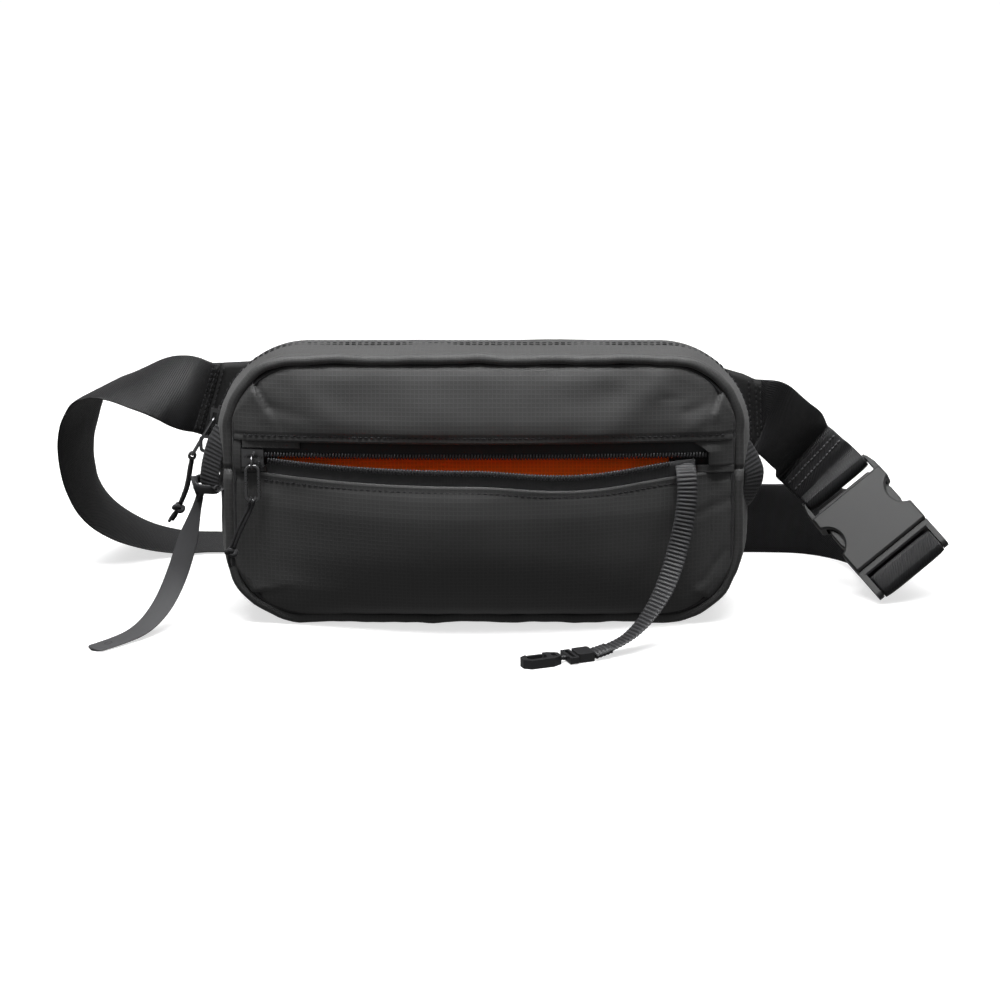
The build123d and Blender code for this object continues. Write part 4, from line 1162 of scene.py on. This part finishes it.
def make_strap():
    stations = list(STRAP_LEFT)
    half = WEBBING / 2
    for x, angle in STRAP_RISE:
        across = (0, -cos(radians(angle)), -sin(radians(angle)))
        stations.append(((x, 90 - half * across[1], 1.0 - half * across[2]), across))
    stations += STRAP_RIGHT
    ends = [(3.0, -8.4), (8.5, -4.9)]
    for angle in range(-90, 91, 30):
        ends.append((MALE_BAR_A + BAR_WRAP * cos(radians(angle)), BAR_WRAP * sin(radians(angle))))
    ends += [(8.4, 3.5), (6.6, 2.7), (5.8, 0.8), (5.7, -1.4)]
    stations += [(buckle_point(a, n), -BUCKLE_W) for a, n in ends]
    band, parts = webbing_parts(stations, 9)
    parts.make("shoulder_strap", WEB, "webbing", "strap_long")
    rows = [band.crossing(far, 17.2, lift) for far in (2.5, 5.0) for lift in (-1.0, 1.0)]
    sew("shoulder_strap_stitches", "webbing", rows, 2.6, 1.9, 0.26)


def make_short_strap():
    start = buckle_point(BAR_A - BAR_WRAP, 0)
    straight = buckle_point(BAR_A - 6.4, 0)
    end = start + SEWN_DIRECTION * SEWN_LENGTH
    middle = start + SEWN_DIRECTION * SEWN_LENGTH / 2
    sewn_across = unit(BUCKLE_W - SEWN_DIRECTION * np.dot(BUCKLE_W, SEWN_DIRECTION))
    stations = SHORT_STRAP + [(end + SEWN_DIRECTION * reach, sewn_across) for reach in (3.3, 0.3, -4.0)]
    _, parts = webbing_parts(stations, 9)
    short = parts.make("short_strap", WEB, "webbing", "strap_short", body=None)
    metres([end])[0]
    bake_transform(short)

    normal = np.cross(SEWN_DIRECTION, sewn_across)
    if np.dot(normal, BUCKLE_N) < 0:
        normal = -normal
    lift = normal * 0.95
    loop = [(end + lift, sewn_across), (middle + lift, sewn_across), (straight + BUCKLE_N * 1.2, BUCKLE_W)]
    for angle in range(100, -101, -25):
        place = buckle_point(BAR_A + BAR_WRAP * cos(radians(angle)), 3.4 * sin(radians(angle)))
        loop.append((place, BUCKLE_W))
    loop += [(straight - BUCKLE_N * 1.2, BUCKLE_W), (middle - lift, sewn_across), (end - lift, sewn_across)]
    sewn, parts = webbing_parts(loop, 7)
    parts.make("short_strap_loop", WEB, "webbing", "strap_short_loop", "buckle_female")
    rows = []
    for far in (3.2, 7.4):
        line, facing = sewn.crossing(far, 17.5, 0.95)
        if np.dot(facing, normal) < 0:
            line, facing = sewn.crossing(far, 17.5, -0.95)
        rows.append((line, facing))
    sew("short_strap_stitches", "webbing", rows, 2.3, 1.6, 0.42, THREAD_GREY_PAINTED_HIGHLIGHT, "buckle_female")


def make_wing(name, corners, node, side):
    """A padded fabric wing with straight edges, sewn at the bag and to the strap."""
    corners = np.array(corners, float)
    top, bottom = corners[:-2], corners[:-3:-1]

    def place(s, t):
        """A point (x, z) of the wing: s is from the bag to the strap, t from its lower edge to its upper."""
        low, high = (read_along(s * travelled(path)[-1], travelled(path), path) for path in (bottom, top))
        return low * (1 - t) + high * t

    def sag(s, t):
        """How far a face is drawn in, at the wing's edges and at the seam beside the strap."""
        return 0.9 * np.exp(-min(t, 1 - t, (1 - s) * 1.2) * 18) + 0.7 * bell(s - 0.84, 0.02)

    parts = Parts()
    columns, levels = np.linspace(0, 1, 34), np.linspace(0, 1, 14)
    flat, sunk = (sheet_points(columns, levels, at) for at in (place, sag))
    for face_y, direction in ((30.9, 1), (28.1, -1)):
        rows = np.stack([flat[..., 0], face_y - direction * sunk, flat[..., 1]], -1)
        rows[..., 1] += ruffle(rows, 13, 51 + side) * 0.3
        sheet_parts(parts, rows, upright(rows), 0.9, -1.0 if direction == side else 1.0)
    # The wing's cloth carries painted shade: a darker copy of the shell's ripstop.
    parts.make(name, SHELL_PAINTED_SHADE, "shell_fabric", node)
    rows = []
    for share in (0.9, 0.78, 0.97):
        flat = np.array([place(share, t) for t in np.linspace(0.05, 0.95, 40)])
        rows += [(at_depth(flat, face_y), (0, facing, 0)) for face_y, facing in ((27.95, -1), (31.0, 1))]
    sew(f"{name}_stitches", "shell_fabric", rows, 2.8, 2.0, 0.34)


# The side loops, seen along the bag: how far out and how high each point is from the loop's middle.
LEFT_TAB = [(-2, 15), (-0.6, 12.6), (2.0, 7.4), (4.8, -3), (5.6, -10.6), (4.4, -13.6), (-0.2, -12), (-2, -11)]
RIGHT_TAB = [(-2.5, 15), (-1.2, 13), (1.2, 9), (3.6, 3), (3.4, -3), (1.4, -8), (-1, -13), (-2.5, -15)]
# The strip's two necks below the hitch: their points, width and thickness.
HITCH_NECKS = [([(-143.6, -18.6, 73.6), (-142.6, -20.2, 69.5), (-141.4, -18.4, 65), (-141.0, -16.3, 61.2)],
                4.4, 1.3),
               ([(-138.0, -19.6, 67.0), (-139.8, -18.4, 64.6), (-141.2, -16.4, 61)], 4.6, 1.6)]


def make_tabs():
    for name, node, side, height, shape in (("tab_left_band", "side_tab_left", -1, 82.5, LEFT_TAB),
                                            ("tab_right_band", "side_tab_right", 1, 74.0, RIGHT_TAB)):
        near_end, far_end = np.array((side * 127.3, FRONT_Y, 0)), np.array((side * 131.3, -14.0, 0))
        along = unit(far_end - near_end)
        outward = np.array((along[1], -along[0], 0))
        outward = outward if outward[0] * side > 0 else -outward
        middle = (near_end + far_end) / 2 + np.array((0, 0, height)) + along + outward * 0.5
        line = resample(catmull([middle + outward * o + np.array((0, 0, h)) for o, h in shape], 8), 0.3)
        band = Ribbon(line, unit(along + outward * 0.55)).build(Parts(), 14.0, 1.3, rib=0.22)
        band.make(name, RIBBED, "ribbed_webbing", node)


def make_hitch():
    """The grey strip's hitch: a flat, square-cornered ring round the left loop, and the strip's two necks."""
    centre = np.array((-137.0, -17.5, 69.2))
    axis = unit((0.12, -0.32, 1))
    x_dir = unit(np.array((1, 0, 0)) - axis * axis[0])
    y_dir = np.cross(axis, x_dir)
    ring = []
    for t in np.linspace(0, 2 * pi, 40, endpoint=False):
        c, s = cos(t), sin(t)
        scale = (abs(c) ** 3 + abs(s) ** 3) ** (-1 / 3)
        ring.append(centre + x_dir * 6.3 * c * scale + y_dir * 4.8 * s * scale)
    parts = Ribbon(ring + ring[:1], axis).build(Parts(), 5.2, 1.4, half_points=6)
    for stations, width, thick in HITCH_NECKS:
        Ribbon(catmull(stations, 8), unit((0.45, 0.88, 0.1))).build(parts, width, thick, half_points=6)
    parts.make("grip_hitch_band", STRIP, "grey_strip", "grip_hitch")


make_back()
make_inside()
make_strap()
make_short_strap()
make_wing("wing_left_cloth", LEFT_WING, "wing_left", -1)
make_wing("wing_right_cloth", RIGHT_WING, "wing_right", 1)
make_tabs()
make_hitch()


# ---------------------------------------------------------------- carried-over hardware
# How much the edges of each CAD node are rounded, by material and slot.
HARDWARE = [
    (PLASTIC, "buckle_plastic", {"buckle_female": 0.7, "buckle_male": 0.6, "prong_left": 0.5,
                                 "prong_right": 0.5}),
    (METAL, "zip_metal", {"tab_ring": 0.3, "front_slider": 0.7, "main_slider": 0.7, "front_pull_ring": 0,
                          "front_puller": 0, "main_puller": 0}),
    (HOOK_BLACK, "hook_black", {"leash_crimp": 1.1, "hook_swivel_eye": 0.3, "hook_body": 0.8,
                                "hook_gate": 0.3}),
]


def finish_node(made, finish, slot_name, edge):
    made.data.materials.clear()
    made.data.materials.append(finish)
    if edge:
        bevel = made.modifiers.new("edge", "BEVEL")
        bevel.width = edge * MM
        bevel.segments = 3
        bevel.limit_method = "ANGLE"
        bevel.angle_limit = radians(35)
        bevel.harden_normals = True


for finish, slot_name, edges in HARDWARE:
    for node, edge in edges.items():
        finish_node(NODES[node], finish, slot_name, edge)


# ---------------------------------------------------------------- floor
FLOOR_HALF = 14
corners = [(x * FLOOR_HALF, y * FLOOR_HALF, 0) for x, y in ((-1, -1), (1, -1), (1, 1), (-1, 1))]
floor_mesh = bpy.data.meshes.new("floor")
floor_mesh.from_pydata(corners, [], [(0, 1, 2, 3)])
floor = link_object("floor", floor_mesh)
floor_finish = Material("floor_white", (0.5, 0.5, 0.5), 0.9, Emission_Color=(1, 1, 1, 1),
                        Emission_Strength=0.66, Specular_IOR_Level=0.1)
floor_finish.tint(floor_finish.noise(2.0), 0.99, 1.01)
floor.data.materials.append(floor_finish.material)
floor.visible_diffuse = False
floor.visible_glossy = False
